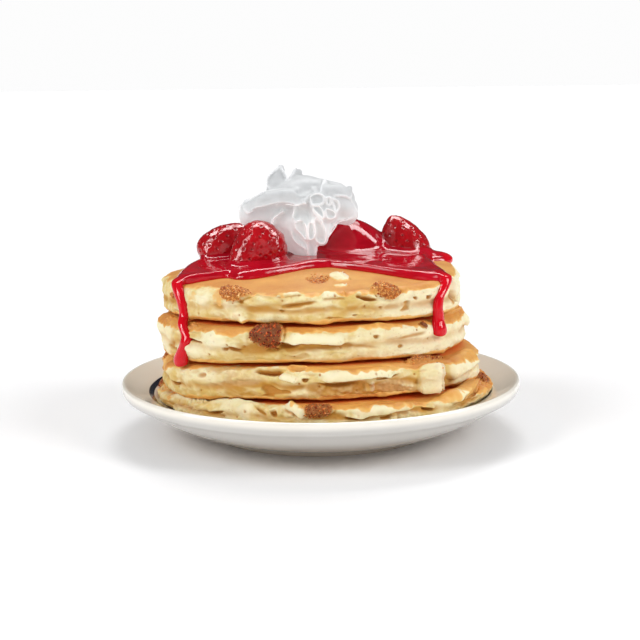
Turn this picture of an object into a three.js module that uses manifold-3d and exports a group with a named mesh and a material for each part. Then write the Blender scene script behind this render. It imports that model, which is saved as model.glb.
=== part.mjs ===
// A stack of four thick pancakes on a rimmed china plate, topped with strawberries
// in red sauce and a piped dollop of whipped cream. Browned lumps of cake baked into
// the batter stand out of the pancakes' tops and edges.
//
// Millimetres, +Z up. The origin is the centre of the plate's foot, on the table.
// The front is -Y, and an azimuth is counted in degrees from the front towards +X.
import * as THREE from "three";
import { mergeVertices } from "three/addons/utils/BufferGeometryUtils.js";
import Module from "manifold-3d";

const wasm = await Module();
wasm.setup();

// ---------------------------------------------------------------- dimensions

const GAP = 0.35; // clearance between pieces that touch

const plate = {
  rimRadius: 101.5,
  rimHeight: 27.5,
  lipDepth: 7, // height of the rolled outer edge
  floorRadius: 60,
  floorHeight: 9,
  footOuter: 58,
  footInner: 54,
  footHeight: 2.4,
  segments: 48,
};

// Heights of the surfaces between the layers, from the plate's floor to the top of
// the stack. Tilt is the rise for each millimetre towards +X. Saddle is how far the
// front and back stand above the middle, and the two sides sag below it.
const levels = [
  { height: plate.floorHeight, tilt: 0, saddle: 0 },
  { height: 29.5, tilt: 0.02, saddle: 3.4 },
  { height: 46.6, tilt: 0.012, saddle: 3.2 },
  { height: 65.4, tilt: 0, saddle: 1.8 },
  { height: 86.2, tilt: 0.012, saddle: -0.4 },
];
const saddleReach = 80; // distance from the axis at which the saddle is measured

// From the bottom up. Droop is how far the top face falls towards its edge, and each
// outline wave is [lobes, size, phase].
const pancakes = [
  { x: 1.8, y: 0, radius: 86.5, droop: 1.2, waves: [[2, 0.9, 0.3], [3, 0.8, 1.9], [7, 0.7, 4.0]] },
  { x: -0.6, y: 0.5, radius: 81, droop: 1.2, waves: [[2, 0.8, 1.2], [5, 0.9, 0.4], [8, 0.6, 2.6]] },
  { x: -4.0, y: 0, radius: 77.4, droop: 1.2, waves: [[3, 1.0, 2.5], [4, 0.7, 5.1], [9, 0.5, 0.8]] },
  { x: -3.4, y: 0.5, radius: 75, droop: 4.6, waves: [[2, 0.7, 4.4], [5, 0.8, 3.0], [7, 0.6, 1.1]] },
];
const droopPower = 2.6; // how late the top face starts to fall
const pancakeEdge = {
  rounding: 6.5, // how far in the rounded edge reaches
  fullness: 2.7, // superellipse power of the edge's section
  crease: 1.3, // depth of the groove round the edge
  creaseAngle: 2, // its place on the edge's section
  creaseWidth: 16,
  segments: 34,
};

// Size is across, deep into the pancake, and tall. Share is the height in the layer.
const lumps = [
  { layer: 4, azimuth: -30, inset: 4.5, share: 0.7, size: [15, 11, 9], turn: 10 },
  { layer: 4, azimuth: 28, inset: 5, share: 0.72, size: [13, 11, 8], turn: -20 },
  { layer: 4, azimuth: 208, inset: 3.5, share: 0.6, size: [11, 10, 9], turn: 40 },
  { layer: 3, azimuth: -18, inset: 2.5, share: 0.56, size: [16, 10, 11], turn: 15 },
  { layer: 3, azimuth: 155, inset: 2.5, share: 0.5, size: [13, 10, 9], turn: -10 },
  { layer: 3, azimuth: 238, inset: 3, share: 0.6, size: [11, 10, 9], turn: 25 },
  { layer: 2, azimuth: 41, inset: 1.5, share: 0.5, size: [13, 12, 12], turn: 5 },
  { layer: 2, azimuth: 112, inset: 2.5, share: 0.5, size: [12, 10, 9], turn: 12 },
  { layer: 1, azimuth: -2, inset: 2.5, share: 0.6, size: [13, 9, 6], turn: 0 },
  { layer: 1, azimuth: 216, inset: 2.5, share: 0.55, size: [13, 10, 6], turn: 8 },
];
const lumpSquareness = 3.2; // 2 is a plain ball, and more is boxier

// Each berry's tip points up, tips over about X by its lean and turns about Z by faces.
// Fullness is the power of its section: a higher one makes it more pointed.
const strawberries = [
  { name: "strawberry_back_left", at: [-47, 25, 92], length: 33, radius: 12.4,
    lean: -58, faces: -96, fullness: 0.52 },
  { name: "strawberry_front_left", at: [-32.8, -12.2, 92.2], length: 35, radius: 13.5,
    lean: 126, faces: -63, fullness: 0.76 },
  { name: "strawberry_half", at: [18.2, 38, 87], length: 35, radius: 23.2,
    lean: 6, faces: -60, fullness: 0.66 },
  { name: "strawberry_right", at: [43.6, 36, 91], length: 32, radius: 14.4,
    lean: 19, faces: -78, fullness: 0.7 },
];
const berryShape = { shoulder: 0.62, rings: 8, segments: 14 };

// The pool lies on the top pancake. Its outline is [azimuth, radius] about the
// pancake's centre: it runs over the edge at two places in front, where it drips.
const sauce = {
  thickness: 2.6,
  outline: [
    [-158, 60], [-122, 66], [-98, 65], [-80, 66], [-68, 67], [-58, 77.5], [-46, 77.5], [-41, 66],
    [-36, 60], [-28, 57], [-20, 42], [-8, 31], [14, 26], [30, 34], [38, 60], [46, 77.5],
    [56, 77.5], [64, 69], [82, 62], [98, 60], [110, 70], [124, 71], [140, 62], [170, 58],
  ],
  bead: 3.5, // width over which the pool's edge rounds off
  segments: 54,
};
// at the back right edge
const sauceMound = { at: [59, 31, 82], size: [26, 18, 11], turn: 28, segments: 12 };

// A drip runs down the edge of the stack at one azimuth. Its stations, from the top
// down, are [height, distance from the top pancake's axis, width, thickness].
const drips = [
  { azimuth: -51, stations: [[85, 70, 9, 4], [81, 77.5, 10, 4.4], [75, 79, 6, 3.4], [64, 80, 5, 3.2],
    [54, 82.5, 6.5, 3.6], [47, 83, 5, 3.2], [41, 84.5, 7.5, 4.4], [37.5, 84, 4, 3]] },
  { azimuth: 51, stations: [[84, 69, 9, 4], [80.5, 77.5, 9.5, 4.4], [74, 78.6, 5.5, 3.2],
    [66, 78.2, 4.6, 3], [59, 79.2, 6.5, 3.8], [54.5, 79.8, 7, 4], [51.5, 79.4, 3.6, 2.6]] },
];
const dripSides = 8;

// Each part of the dollop is a stack of pointed-fold sections, [height, x, y, radius].
const cream = {
  body: [
    [86.2, -8.5, 23, 6], [89.5, -8.5, 21, 8.5], [94, -8.5, 18, 14], [100, -10, 15.5, 20],
    [106, -11.5, 14, 25.5], [112, -12.5, 13.5, 28.5], [118, -10.5, 13.5, 26.5],
    [123, -7, 13.5, 22], [127, -3, 13.5, 16.5], [129.6, 0, 13.5, 10], [130.6, 2, 13.5, 4],
  ],
  curl: [
    [121, -20, 13, 8], [126, -20.5, 13, 7.6], [130, -21, 13, 5.6], [133, -20, 13, 3], [135, -18.5, 13, 1],
  ],
  folds: 9,
  foldDepth: 0.13, // share of the radius, each way
  twist: 7, // degrees of turn in the folds for each millimetre of height
  bodySegments: 36,
  curlSegments: 12,
};

// ---------------------------------------------------------------- small helpers

const radians = THREE.MathUtils.degToRad;
const lerp = THREE.MathUtils.lerp;
const smooth = THREE.MathUtils.smoothstep;

/** The point at an azimuth in radians and a radius about a centre. */
function around(centreX, centreY, azimuth, radius, z) {
  return [centreX + radius * Math.sin(azimuth), centreY - radius * Math.cos(azimuth), z];
}

/** One ring of points, from a function of the azimuth in radians. */
function ringOf(count, pointAt) {
  return Array.from({ length: count }, (_, k) => pointAt((k / count) * Math.PI * 2));
}

/** Value of a closed [azimuth in degrees, value] outline, blended between its points. */
function outlineAt(points, azimuth) {
  const first = points[0][0];
  const turned = THREE.MathUtils.euclideanModulo(azimuth - first, 360);
  const next = points.findIndex(([angle]) => angle - first > turned);
  const [from, to] = next < 0 ? [points.at(-1), points[0]] : [points[next - 1], points[next]];
  const high = next < 0 ? 360 : to[0] - first;
  return lerp(from[1], to[1], smooth(turned, from[0] - first, high));
}

/** A closed geometry from rings of points, top ring first, capped by a pole at each end. */
function ringedGeometry(topPole, rings, bottomPole) {
  const count = rings[0].length;
  const positions = [topPole, ...rings.flat(), bottomPole].flat();
  const bottom = positions.length / 3 - 1;
  const at = (ring, k) => 1 + ring * count + (k % count);
  const index = [];
  for (let k = 0; k < count; k++) {
    index.push(0, at(0, k), at(0, k + 1));
    for (let ring = 0; ring + 1 < rings.length; ring++) {
      index.push(at(ring, k), at(ring + 1, k), at(ring + 1, k + 1));
      index.push(at(ring, k), at(ring + 1, k + 1), at(ring, k + 1));
    }
    index.push(bottom, at(rings.length - 1, k + 1), at(rings.length - 1, k));
  }
  const geometry = new THREE.BufferGeometry();
  geometry.setAttribute("position", new THREE.Float32BufferAttribute(positions, 3));
  geometry.setIndex(index);
  return geometry;
}

/** A manifold-3d solid from a closed three.js geometry. */
function solidFrom(geometry) {
  const bare = geometry.clone();
  bare.deleteAttribute("normal");
  bare.deleteAttribute("uv");
  const merged = mergeVertices(bare, 1e-3);
  return new wasm.Manifold(
    new wasm.Mesh({
      numProp: 3,
      vertProperties: merged.attributes.position.array,
      triVerts: new Uint32Array(merged.index.array),
    }),
  );
}

/** The largest body of a solid, as a three.js geometry. */
function geometryFrom(solid) {
  const bodies = solid.decompose().sort((a, b) => b.volume() - a.volume());
  const { vertProperties, triVerts } = bodies[0].getMesh();
  const geometry = new THREE.BufferGeometry();
  geometry.setAttribute("position", new THREE.BufferAttribute(vertProperties, 3));
  geometry.setIndex(new THREE.BufferAttribute(triVerts, 1));
  geometry.computeVertexNormals();
  return geometry;
}

const joinAll = (solid, others) => others.reduce((whole, other) => whole.add(other), solid);
const cutAll = (solid, others) => others.reduce((left, other) => left.subtract(other), solid);

// ---------------------------------------------------------------- plate

const sectionPoints = (pairs) => pairs.map(([r, z]) => new THREE.Vector2(r, z));

/** The plate's top face, from the edge of its flat floor up to the rim. */
const plateSlope = new THREE.SplineCurve(
  sectionPoints([
    [plate.floorRadius, plate.floorHeight],
    [68, 11.4],
    [78, 16.8],
    [88.5, 22.4],
    [95, 25.2],
    [plate.rimRadius - 2, plate.rimHeight - 0.2],
  ]),
).getPoints(6);

/** Height of the plate's top face at a radius. */
function plateTop(radius) {
  const i = plateSlope.findIndex((p) => p.x > radius);
  if (i === 0) return plate.floorHeight;
  if (i < 0) return plate.rimHeight;
  const [a, b] = [plateSlope[i - 1], plateSlope[i]];
  return lerp(a.y, b.y, (radius - a.x) / (b.x - a.x));
}

/** The plate's section turned about its axis, which LatheGeometry has along Y. */
function plateGeometry() {
  const { rimRadius: rim, rimHeight: top, lipDepth, footOuter, footInner, footHeight } = plate;
  const lip = sectionPoints([
    [rim - 0.8, top],
    [rim, top - 1],
    [rim - 0.3, top - 4],
    [rim - 2, top - lipDepth],
  ]);
  const underside = new THREE.SplineCurve(
    sectionPoints([
      [rim - 5, top - lipDepth - 1.8],
      [86, 12.6],
      [74, 6.8],
      [64, 3.4],
      [footOuter + 1, footHeight],
    ]),
  ).getPoints(5);
  const foot = sectionPoints([
    [footOuter, 0],
    [footInner, 0],
    [footInner - 1, footHeight - 0.3],
    [0, footHeight],
  ]);
  const middle = new THREE.Vector2(0, plate.floorHeight);
  const section = [middle, ...plateSlope, ...lip, ...underside, ...foot];
  return new THREE.LatheGeometry(section.reverse(), plate.segments).rotateX(Math.PI / 2);
}

// ---------------------------------------------------------------- pancakes

/** Height of the surface between two layers at a place on the stack. */
function levelAt(index, x, y) {
  const { height, tilt, saddle } = levels[index];
  return height + tilt * x + (saddle * (y * y - x * x)) / saddleReach ** 2;
}

/** Height of a pancake's underside: the first one also rests on the plate's slope. */
function undersideAt(number, x, y) {
  const level = levelAt(number - 1, x, y);
  return number === 1 ? Math.max(level, plateTop(Math.hypot(x, y))) : level;
}

/** Outline radius of a pancake at an azimuth in radians. */
function outlineRadius({ radius, waves }, azimuth) {
  const wave = ([lobes, size, phase]) => size * Math.sin(lobes * azimuth + phase);
  return waves.reduce((sum, each) => sum + wave(each), radius);
}

/** One pancake, grown outwards on every side by a clearance. */
function pancakeSolid(number, grow = 0) {
  const pancake = pancakes[number - 1];
  const { rounding, fullness, crease, creaseAngle, creaseWidth, segments } = pancakeEdge;
  const fallAt = (share) => pancake.droop * share ** droopPower;
  const topAt = (x, y, share) => levelAt(number, x, y) - fallAt(share) - GAP / 2 + grow;
  const bottomAt = (x, y) => undersideAt(number, x, y) + GAP / 2 - grow;

  const faceRing = (share, isTop) =>
    ringOf(segments, (azimuth) => {
      const radius = share * (outlineRadius(pancake, azimuth) + grow - rounding);
      const [x, y] = around(pancake.x, pancake.y, azimuth, radius);
      return [x, y, isTop ? topAt(x, y, share) : bottomAt(x, y)];
    });
  const edgeRing = (angle) =>
    ringOf(segments, (azimuth) => {
      const inwards = rounding * (1 - Math.cos(radians(angle)) ** (2 / fullness));
      const upwards = Math.sign(angle) * Math.abs(Math.sin(radians(angle))) ** (2 / fullness);
      const groove = crease * Math.exp(-(((angle - creaseAngle) / creaseWidth) ** 2));
      const radius = outlineRadius(pancake, azimuth) + grow - inwards - groove;
      const [x, y] = around(pancake.x, pancake.y, azimuth, radius);
      return [x, y, lerp(bottomAt(x, y), topAt(x, y, 1), (1 + upwards) / 2)];
    });
  const rings = [
    faceRing(0.4, true),
    faceRing(0.75, true),
    ...[72, 44, 16, -12, -42, -72].map(edgeRing),
    faceRing(0.7, false),
  ];
  const middle = [pancake.x, pancake.y];
  return solidFrom(
    ringedGeometry([...middle, topAt(...middle, 0)], rings, [...middle, bottomAt(...middle)]),
  );
}

// ---------------------------------------------------------------- baked-in lumps

/** One rounded, slightly boxy lump at the edge of its pancake. */
function lumpSolid({ layer, azimuth, inset, share, size, turn }, grow = 0) {
  const pancake = pancakes[layer - 1];
  const angle = radians(azimuth);
  const [x, y] = around(pancake.x, pancake.y, angle, outlineRadius(pancake, angle) - inset);
  const z = lerp(undersideAt(layer, x, y), levelAt(layer, x, y) - pancake.droop, share);
  const lump = new THREE.IcosahedronGeometry(1, 1);
  const points = lump.attributes.position;
  const power = lumpSquareness;
  for (let i = 0; i < points.count; i++) {
    const p = new THREE.Vector3().fromBufferAttribute(points, i);
    const reach = p.toArray().reduce((sum, v) => sum + Math.abs(v) ** power, 0) ** (1 / power);
    points.setXYZ(i, p.x / reach, p.y / reach, p.z / reach);
  }
  lump.scale(...size.map((side) => side / 2 + grow));
  lump.rotateY(radians(turn)).rotateZ(angle).translate(x, y, z);
  return solidFrom(lump);
}

/** A pancake with its lumps, grown outwards by a clearance. */
function lumpyPancakeSolid(number, grow = 0) {
  const own = lumps.filter(({ layer }) => layer === number).map((lump) => lumpSolid(lump, grow));
  return joinAll(pancakeSolid(number, grow), own);
}

// ---------------------------------------------------------------- strawberries

/** A conical berry, grown by a clearance, leaning as it lies. */
function strawberrySolid({ at, length, radius, lean, faces, fullness }, grow = 0) {
  const { shoulder, rings, segments } = berryShape;
  const section = [];
  for (let i = 0; i <= rings; i++) {
    const along = i / rings;
    const inside = i > 0 && i < rings;
    const width = inside ? Math.sin(Math.PI * along ** shoulder) ** fullness : 0;
    section.push(new THREE.Vector2((radius + grow) * width, (length + 2 * grow) * (along - 0.5)));
  }
  const body = new THREE.LatheGeometry(section, segments).rotateX(Math.PI / 2);
  body.rotateX(radians(lean)).rotateZ(radians(faces)).translate(...at);
  return solidFrom(body);
}

// ---------------------------------------------------------------- sauce

const mostOver = 0.97; // how far over the edge's rounding the sauce's face is followed

/** Height of the top pancake's upper face, with the fall towards and over its edge. */
function topFaceAt(x, y) {
  const pancake = pancakes[3];
  const { rounding, fullness } = pancakeEdge;
  const [dx, dy] = [x - pancake.x, y - pancake.y];
  const radius = Math.hypot(dx, dy);
  const flat = outlineRadius(pancake, Math.atan2(dx, -dy)) - rounding;
  const face = levelAt(4, x, y) - pancake.droop * Math.min(radius / flat, 1) ** droopPower;
  const over = THREE.MathUtils.clamp((radius - flat) / rounding, 0, mostOver);
  const half = (face - undersideAt(4, x, y)) / 2;
  return face - half * (1 - (1 - over ** fullness) ** (1 / fullness));
}

/** The pool that lies over the top pancake, rounded off round its edge. */
function poolSolid() {
  const { thickness, outline, bead, segments } = sauce;
  const { x: centreX, y: centreY } = pancakes[3];
  const poolRing = (shrink, share, lift) =>
    ringOf(segments, (azimuth) => {
      const reach = outlineAt(outline, THREE.MathUtils.radToDeg(azimuth)) - shrink * bead;
      const [x, y] = around(centreX, centreY, azimuth, reach * share);
      return [x, y, topFaceAt(x, y) + GAP + thickness * lift];
    });
  const rounded = [[1, 0.95], [0.4, 0.75], [0.1, 0.3]];
  const rings = [
    poolRing(1, 0.45, 1),
    poolRing(1, 0.8, 1),
    ...rounded.map(([shrink, lift]) => poolRing(shrink, 1, lift)),
    poolRing(1, 0.9, 0.2),
    poolRing(1, 0.45, 0.2),
  ];
  const pole = (lift) => [centreX, centreY, topFaceAt(centreX, centreY) + GAP + thickness * lift];
  return solidFrom(ringedGeometry(pole(1), rings, pole(0.2)));
}

/** The thick part of the pool that bulges at the back right edge. */
function moundSolid() {
  const mound = new THREE.SphereGeometry(0.5, sauceMound.segments, sauceMound.segments / 2);
  mound.scale(...sauceMound.size).rotateZ(radians(sauceMound.turn)).translate(...sauceMound.at);
  return solidFrom(mound);
}

/** One drip: oval sections stacked along its run down the side. */
function dripSolid({ azimuth, stations }) {
  const angle = radians(azimuth);
  const { x: centreX, y: centreY } = pancakes[3];
  const section = ([z, reach, width, thickness]) =>
    ringOf(dripSides, (turn) => {
      const across = (width / 2) * Math.sin(turn);
      const [x, y] = around(centreX, centreY, angle, reach - (thickness / 2) * Math.cos(turn));
      return [x + across * Math.cos(angle), y + across * Math.sin(angle), z];
    });
  const pole = ([z, reach], lift) => around(centreX, centreY, angle, reach, z + lift);
  const rings = stations.map(section);
  const facingOut = rings.map((ring) => ring.toReversed());
  return solidFrom(ringedGeometry(pole(stations[0], 0.6), facingOut, pole(stations.at(-1), -1)));
}

// ---------------------------------------------------------------- whipped cream

/** A twisting stack of pointed folds through the rows, lowest row first. */
function foldedSolid(rows, segments) {
  const { folds, foldDepth, twist } = cream;
  const foldRing = ([z, x, y, radius]) =>
    ringOf(segments, (azimuth) => {
      const phase = folds * azimuth + radians(twist * (z - rows[0][0]));
      const ridge = 1 + foldDepth * (1 - 2 * Math.abs(Math.sin(phase / 2)));
      return around(x, y, azimuth, radius * ridge, z);
    });
  const [lowest, highest] = [rows[0], rows.at(-1)];
  const pole = ([z, x, y], lift) => [x, y, z + lift];
  return solidFrom(ringedGeometry(pole(highest, 0.8), rows.toReversed().map(foldRing), pole(lowest, -0.4)));
}

/** The dollop: its broad body and the curl that stands on its left. */
function creamSolid() {
  const { body, curl, bodySegments, curlSegments } = cream;
  return foldedSolid(body, bodySegments).add(foldedSolid(curl, curlSegments));
}

// ---------------------------------------------------------------- materials

const finish = (colour, roughness) =>
  new THREE.MeshStandardMaterial({ color: colour, roughness, metalness: 0 });
const chinaFinish = () => finish("#e9e4da", 0.15);
const pancakeFinish = () => finish("#ecd39a", 0.75);
const sauceFinish = () => finish("#a50d18", 0.1);
const strawberryFinish = () => finish("#b0141f", 0.18);
const creamFinish = () => finish("#f6f4f2", 0.6);

// ---------------------------------------------------------------- the stack

const group = new THREE.Group();

function add(name, geometry, material) {
  const mesh = new THREE.Mesh(geometry, material);
  mesh.name = name;
  group.add(mesh);
}

const numbers = pancakes.map((_, i) => i + 1);
const clearPancakes = numbers.map((number) => lumpyPancakeSolid(number, GAP));
const clearBerries = strawberries.map((berry) => strawberrySolid(berry, GAP));

add("plate", plateGeometry(), chinaFinish());

numbers.forEach((number) => {
  add(`pancake_${number}`, geometryFrom(lumpyPancakeSolid(number)), pancakeFinish());
});

strawberries.forEach((berry, i) => {
  const free = cutAll(strawberrySolid(berry), [clearPancakes[3], ...clearBerries.slice(0, i)]);
  add(berry.name, geometryFrom(free), strawberryFinish());
});

const dollop = cutAll(creamSolid(), [...clearBerries, clearPancakes[3]]);
add("whipped_cream", geometryFrom(dollop), creamFinish());

const poured = joinAll(poolSolid(), [moundSolid(), ...drips.map(dripSolid)]);
const clearCream = foldedSolid(cream.body, cream.bodySegments).translate([0, 0, -2 * GAP]);
const neighboursOfSauce = [...clearPancakes, ...clearBerries, creamSolid(), clearCream];
add("strawberry_sauce", geometryFrom(cutAll(poured, neighboursOfSauce)), sauceFinish());

export default group;
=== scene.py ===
import math
import bpy
import numpy as np
import openvdb
from mathutils import Matrix, Vector


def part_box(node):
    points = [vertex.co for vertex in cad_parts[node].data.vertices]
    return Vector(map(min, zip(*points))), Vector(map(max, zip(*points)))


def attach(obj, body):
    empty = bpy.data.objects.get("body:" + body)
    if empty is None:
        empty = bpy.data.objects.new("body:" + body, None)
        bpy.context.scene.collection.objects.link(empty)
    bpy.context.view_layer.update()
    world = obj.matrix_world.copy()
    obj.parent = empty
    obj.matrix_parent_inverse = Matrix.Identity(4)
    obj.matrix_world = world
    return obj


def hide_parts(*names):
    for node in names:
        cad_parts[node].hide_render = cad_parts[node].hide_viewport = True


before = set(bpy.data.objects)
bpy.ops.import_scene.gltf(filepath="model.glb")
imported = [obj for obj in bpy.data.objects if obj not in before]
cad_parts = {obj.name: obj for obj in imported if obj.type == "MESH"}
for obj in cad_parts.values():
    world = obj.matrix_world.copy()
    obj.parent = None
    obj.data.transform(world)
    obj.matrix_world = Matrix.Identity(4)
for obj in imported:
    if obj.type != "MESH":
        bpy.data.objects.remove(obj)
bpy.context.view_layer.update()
print("frame loaded")

# A stack of four thick pancakes on a rimmed plate, with strawberries in red sauce and a dollop
# of piped cream. Shapes are worked out in millimetres and become metres in meshFrom. The front
# is -Y, and an azimuth is counted in degrees from the front towards +X.
mm = 0.001
farAway = 9.0  # what a distance is taken as until something nearer is found


# numbers and places

def smooth(x, low, high):
    t = np.clip((x - low) / (high - low), 0, 1)
    return t * t * (3 - 2 * t)


def bell(x, width):
    return np.exp(-((x / width) ** 2))


def mix(a, b, t):
    return a + (b - a) * t


def power(x, p):
    return np.sign(x) * np.abs(x) ** p


def wrapped(degrees):
    return (degrees + 180) % 360 - 180


def aroundAxis(points, azimuth, easing=2.5):
    # value at an azimuth of a closed outline of (azimuth, value), its corners eased over some degrees
    step = 0.5  # degrees
    angles = np.arange(0, 360, step)
    values = np.interp(angles, [p[0] % 360 for p in points], [p[1] for p in points], period=360)
    reach = int(3 * easing / step)
    kernel = np.exp(-0.5 * (np.arange(-reach, reach + 1) * step / easing) ** 2)
    values = np.convolve(np.pad(values, reach, mode="wrap"), kernel / kernel.sum(), "valid")
    return np.interp(azimuth % 360, angles, values, period=360)


def smoothMin(a, b, reach):
    h = np.clip(0.5 + 0.5 * (b - a) / reach, 0, 1)
    return mix(b, a, h) - reach * h * (1 - h)


# noise that repeats exactly for a seed

def cellHash(x, y, z, seed):
    h = (x.astype(np.uint32) * np.uint32(2376512323)) ^ (y.astype(np.uint32) * np.uint32(3625334849))
    h ^= (z.astype(np.uint32) * np.uint32(3407524639)) ^ np.uint32(seed * 2654435761 % 2 ** 32)
    for shift, factor in ((15, 2246822519), (13, 3266489917)):
        h ^= h >> np.uint32(shift)
        h *= np.uint32(factor)
    return h ^ (h >> np.uint32(16))


def hashParts(h):
    return [((h >> np.uint32(shift)) & np.uint32(1023)) / 1023.0 for shift in (0, 10, 20)]


corners = [(i, j, k) for i in (0, 1) for j in (0, 1) for k in (0, 1)]
neighbours = [(i, j, k) for i in (-1, 0, 1) for j in (-1, 0, 1) for k in (-1, 0, 1)]


def ripple(points, size, seed):
    # gradient noise, about -1 to 1, with waves of that size
    q = points / size
    base = np.floor(q)
    f = q - base
    base = base.astype(np.int64)
    ease = f * f * f * (f * (f * 6 - 15) + 10)
    total = np.zeros(points.shape[:-1])
    for i, j, k in corners:
        parts = hashParts(cellHash(base[..., 0] + i, base[..., 1] + j, base[..., 2] + k, seed))
        slope = sum((2 * part - 1) * (f[..., n] - (i, j, k)[n]) for n, part in enumerate(parts))
        weight = 1.0
        for n, corner in enumerate((i, j, k)):
            weight = weight * (ease[..., n] if corner else 1 - ease[..., n])
        total += weight * slope
    return total * 1.5


def pebbles(points, size, seed):
    # distance to the nearest scattered site, in cells, and that site's own number from 0 to 1
    q = points / size
    base = np.floor(q).astype(np.int64)
    best = np.full(points.shape[:-1], farAway)
    own = np.zeros_like(best)
    for i, j, k in neighbours:
        cell = (base[..., 0] + i, base[..., 1] + j, base[..., 2] + k)
        h = cellHash(*cell, seed)
        parts = hashParts(h)
        gap = np.sqrt(sum((cell[n] + parts[n] - q[..., n]) ** 2 for n in range(3)))
        nearer = gap < best
        best = np.where(nearer, gap, best)
        own = np.where(nearer, ((h >> np.uint32(5)) & np.uint32(1023)) / 1023.0, own)
    return best, own


# meshes

def meshFrom(name, points, faces, attributes=None):
    # points in millimetres; faces are arrays of one size each, triangles or quads
    mesh = bpy.data.meshes.new(name)
    mesh.vertices.add(len(points))
    mesh.vertices.foreach_set("co", (np.asarray(points, float) * mm).astype(np.float32).ravel())
    loops = np.concatenate([f.ravel() for f in faces]).astype(np.int32)
    sizes = np.concatenate([np.full(len(f), f.shape[1]) for f in faces])
    mesh.loops.add(len(loops))
    mesh.loops.foreach_set("vertex_index", loops)
    mesh.polygons.add(len(sizes))
    mesh.polygons.foreach_set("loop_start", np.concatenate([[0], np.cumsum(sizes)[:-1]]).astype(np.int32))
    mesh.polygons.foreach_set("use_smooth", np.ones(len(sizes), bool))
    for key, values in (attributes or {}).items():
        kind = "FLOAT_VECTOR" if values.ndim == 2 else "FLOAT"
        layer = mesh.attributes.new(key, kind, "POINT")
        layer.data.foreach_set("vector" if values.ndim == 2 else "value", values.astype(np.float32).ravel())
    mesh.update(calc_edges=True)
    mesh.validate()
    return mesh


def objectFrom(name, mesh, material=None):
    piece = bpy.data.objects.new(name, mesh)
    bpy.context.scene.collection.objects.link(piece)
    if material:
        mesh.materials.clear()
        mesh.materials.append(material)
    return piece


def gridFaces(rows, count):
    # quads between rings, first ring at the top; poles are the two points after the rings
    ring = np.arange(rows - 1)[:, None] * count
    k = np.arange(count)[None, :]
    after = (k + 1) % count
    quads = np.stack([ring + k, ring + count + k, ring + count + after, ring + after], -1).reshape(-1, 4)
    top = np.stack([np.full(count, rows * count), k[0], after[0]], -1)
    last = (rows - 1) * count
    bottom = np.stack([np.full(count, rows * count + 1), last + after[0], last + k[0]], -1)
    return [quads, np.concatenate([top, bottom])]


def finishPiece(piece, slot, *nodes):
    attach(piece, "root")
    if nodes:
        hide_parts(*nodes)
    return piece


# shader nodes as expressions

class Wire:
    # one output socket that takes part in sums

    def __init__(self, finish, socket):
        self.finish = finish
        self.socket = socket

    def sum(self, operation, first, second):
        return self.finish.node("ShaderNodeMath", {"operation": operation}, {0: first, 1: second})

    def __add__(self, other):
        return self.sum("ADD", self, other)

    def __radd__(self, other):
        return self.sum("ADD", other, self)

    def __sub__(self, other):
        return self.sum("SUBTRACT", self, other)

    def __rsub__(self, other):
        return self.sum("SUBTRACT", other, self)

    def __mul__(self, other):
        return self.sum("MULTIPLY", self, other)

    def __rmul__(self, other):
        return self.sum("MULTIPLY", other, self)


class Finish:
    # one material, its nodes and the shader they end in

    def __init__(self, name):
        self.material = bpy.data.materials.new(name)
        self.material.use_nodes = True
        self.tree = self.material.node_tree
        self.tree.nodes.clear()

    def node(self, kind, settings=None, inputs=None, output=0):
        made = self.tree.nodes.new(kind)
        for key, value in (settings or {}).items():
            if key == "stops":
                ramp = made.color_ramp.elements
                while len(ramp) < len(value):
                    ramp.new(0.5)
                for stop, (place, colour) in zip(ramp, value):
                    stop.position = place
                    stop.color = colour
            else:
                setattr(made, key, value)
        for key, value in (inputs or {}).items():
            if isinstance(value, Wire):
                self.tree.links.new(value.socket, made.inputs[key])
            else:
                made.inputs[key].default_value = value
        return Wire(self, made.outputs[output] if made.outputs else None)

    def place(self):
        return self.node("ShaderNodeTexCoord", output="Object")

    def attribute(self, name):
        return self.node("ShaderNodeAttribute", {"attribute_name": name}, output="Fac")

    def noise(self, place, size, detail=3.0, rough=0.55):
        # waves of that size in millimetres
        inputs = {"Vector": place, "Scale": 1 / (size * mm), "Detail": detail, "Roughness": rough}
        return self.node("ShaderNodeTexNoise", {}, inputs)

    def ease(self, value, low, high, start=0.0, end=1.0):
        inputs = {"Value": value, "From Min": low, "From Max": high, "To Min": start, "To Max": end}
        return self.node("ShaderNodeMapRange", {"interpolation_type": "SMOOTHSTEP"}, inputs)

    def blend(self, factor, a, b):
        return self.node("ShaderNodeMix", {"data_type": "RGBA"}, {0: factor, 6: a, 7: b}, output=2)

    def bump(self, height, distance, strength=1.0, under=None):
        inputs = {"Height": height, "Distance": distance * mm, "Strength": strength}
        if under:
            inputs["Normal"] = under
        return self.node("ShaderNodeBump", {}, inputs)

    def surface(self, **inputs):
        named = {key.replace("_", " "): value for key, value in inputs.items()}
        shader = self.node("ShaderNodeBsdfPrincipled", {}, named)
        self.node("ShaderNodeOutputMaterial", {}, {"Surface": shader})
        return self.material


def paint(red, green, blue):
    # a colour as seen on a screen, 0 to 255, as the shader's own values
    parts = [c / 255 for c in (red, green, blue)]
    return tuple(c / 12.92 if c <= 0.04045 else ((c + 0.055) / 1.055) ** 2.4 for c in parts) + (1.0,)


# camera, floor and light

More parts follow.
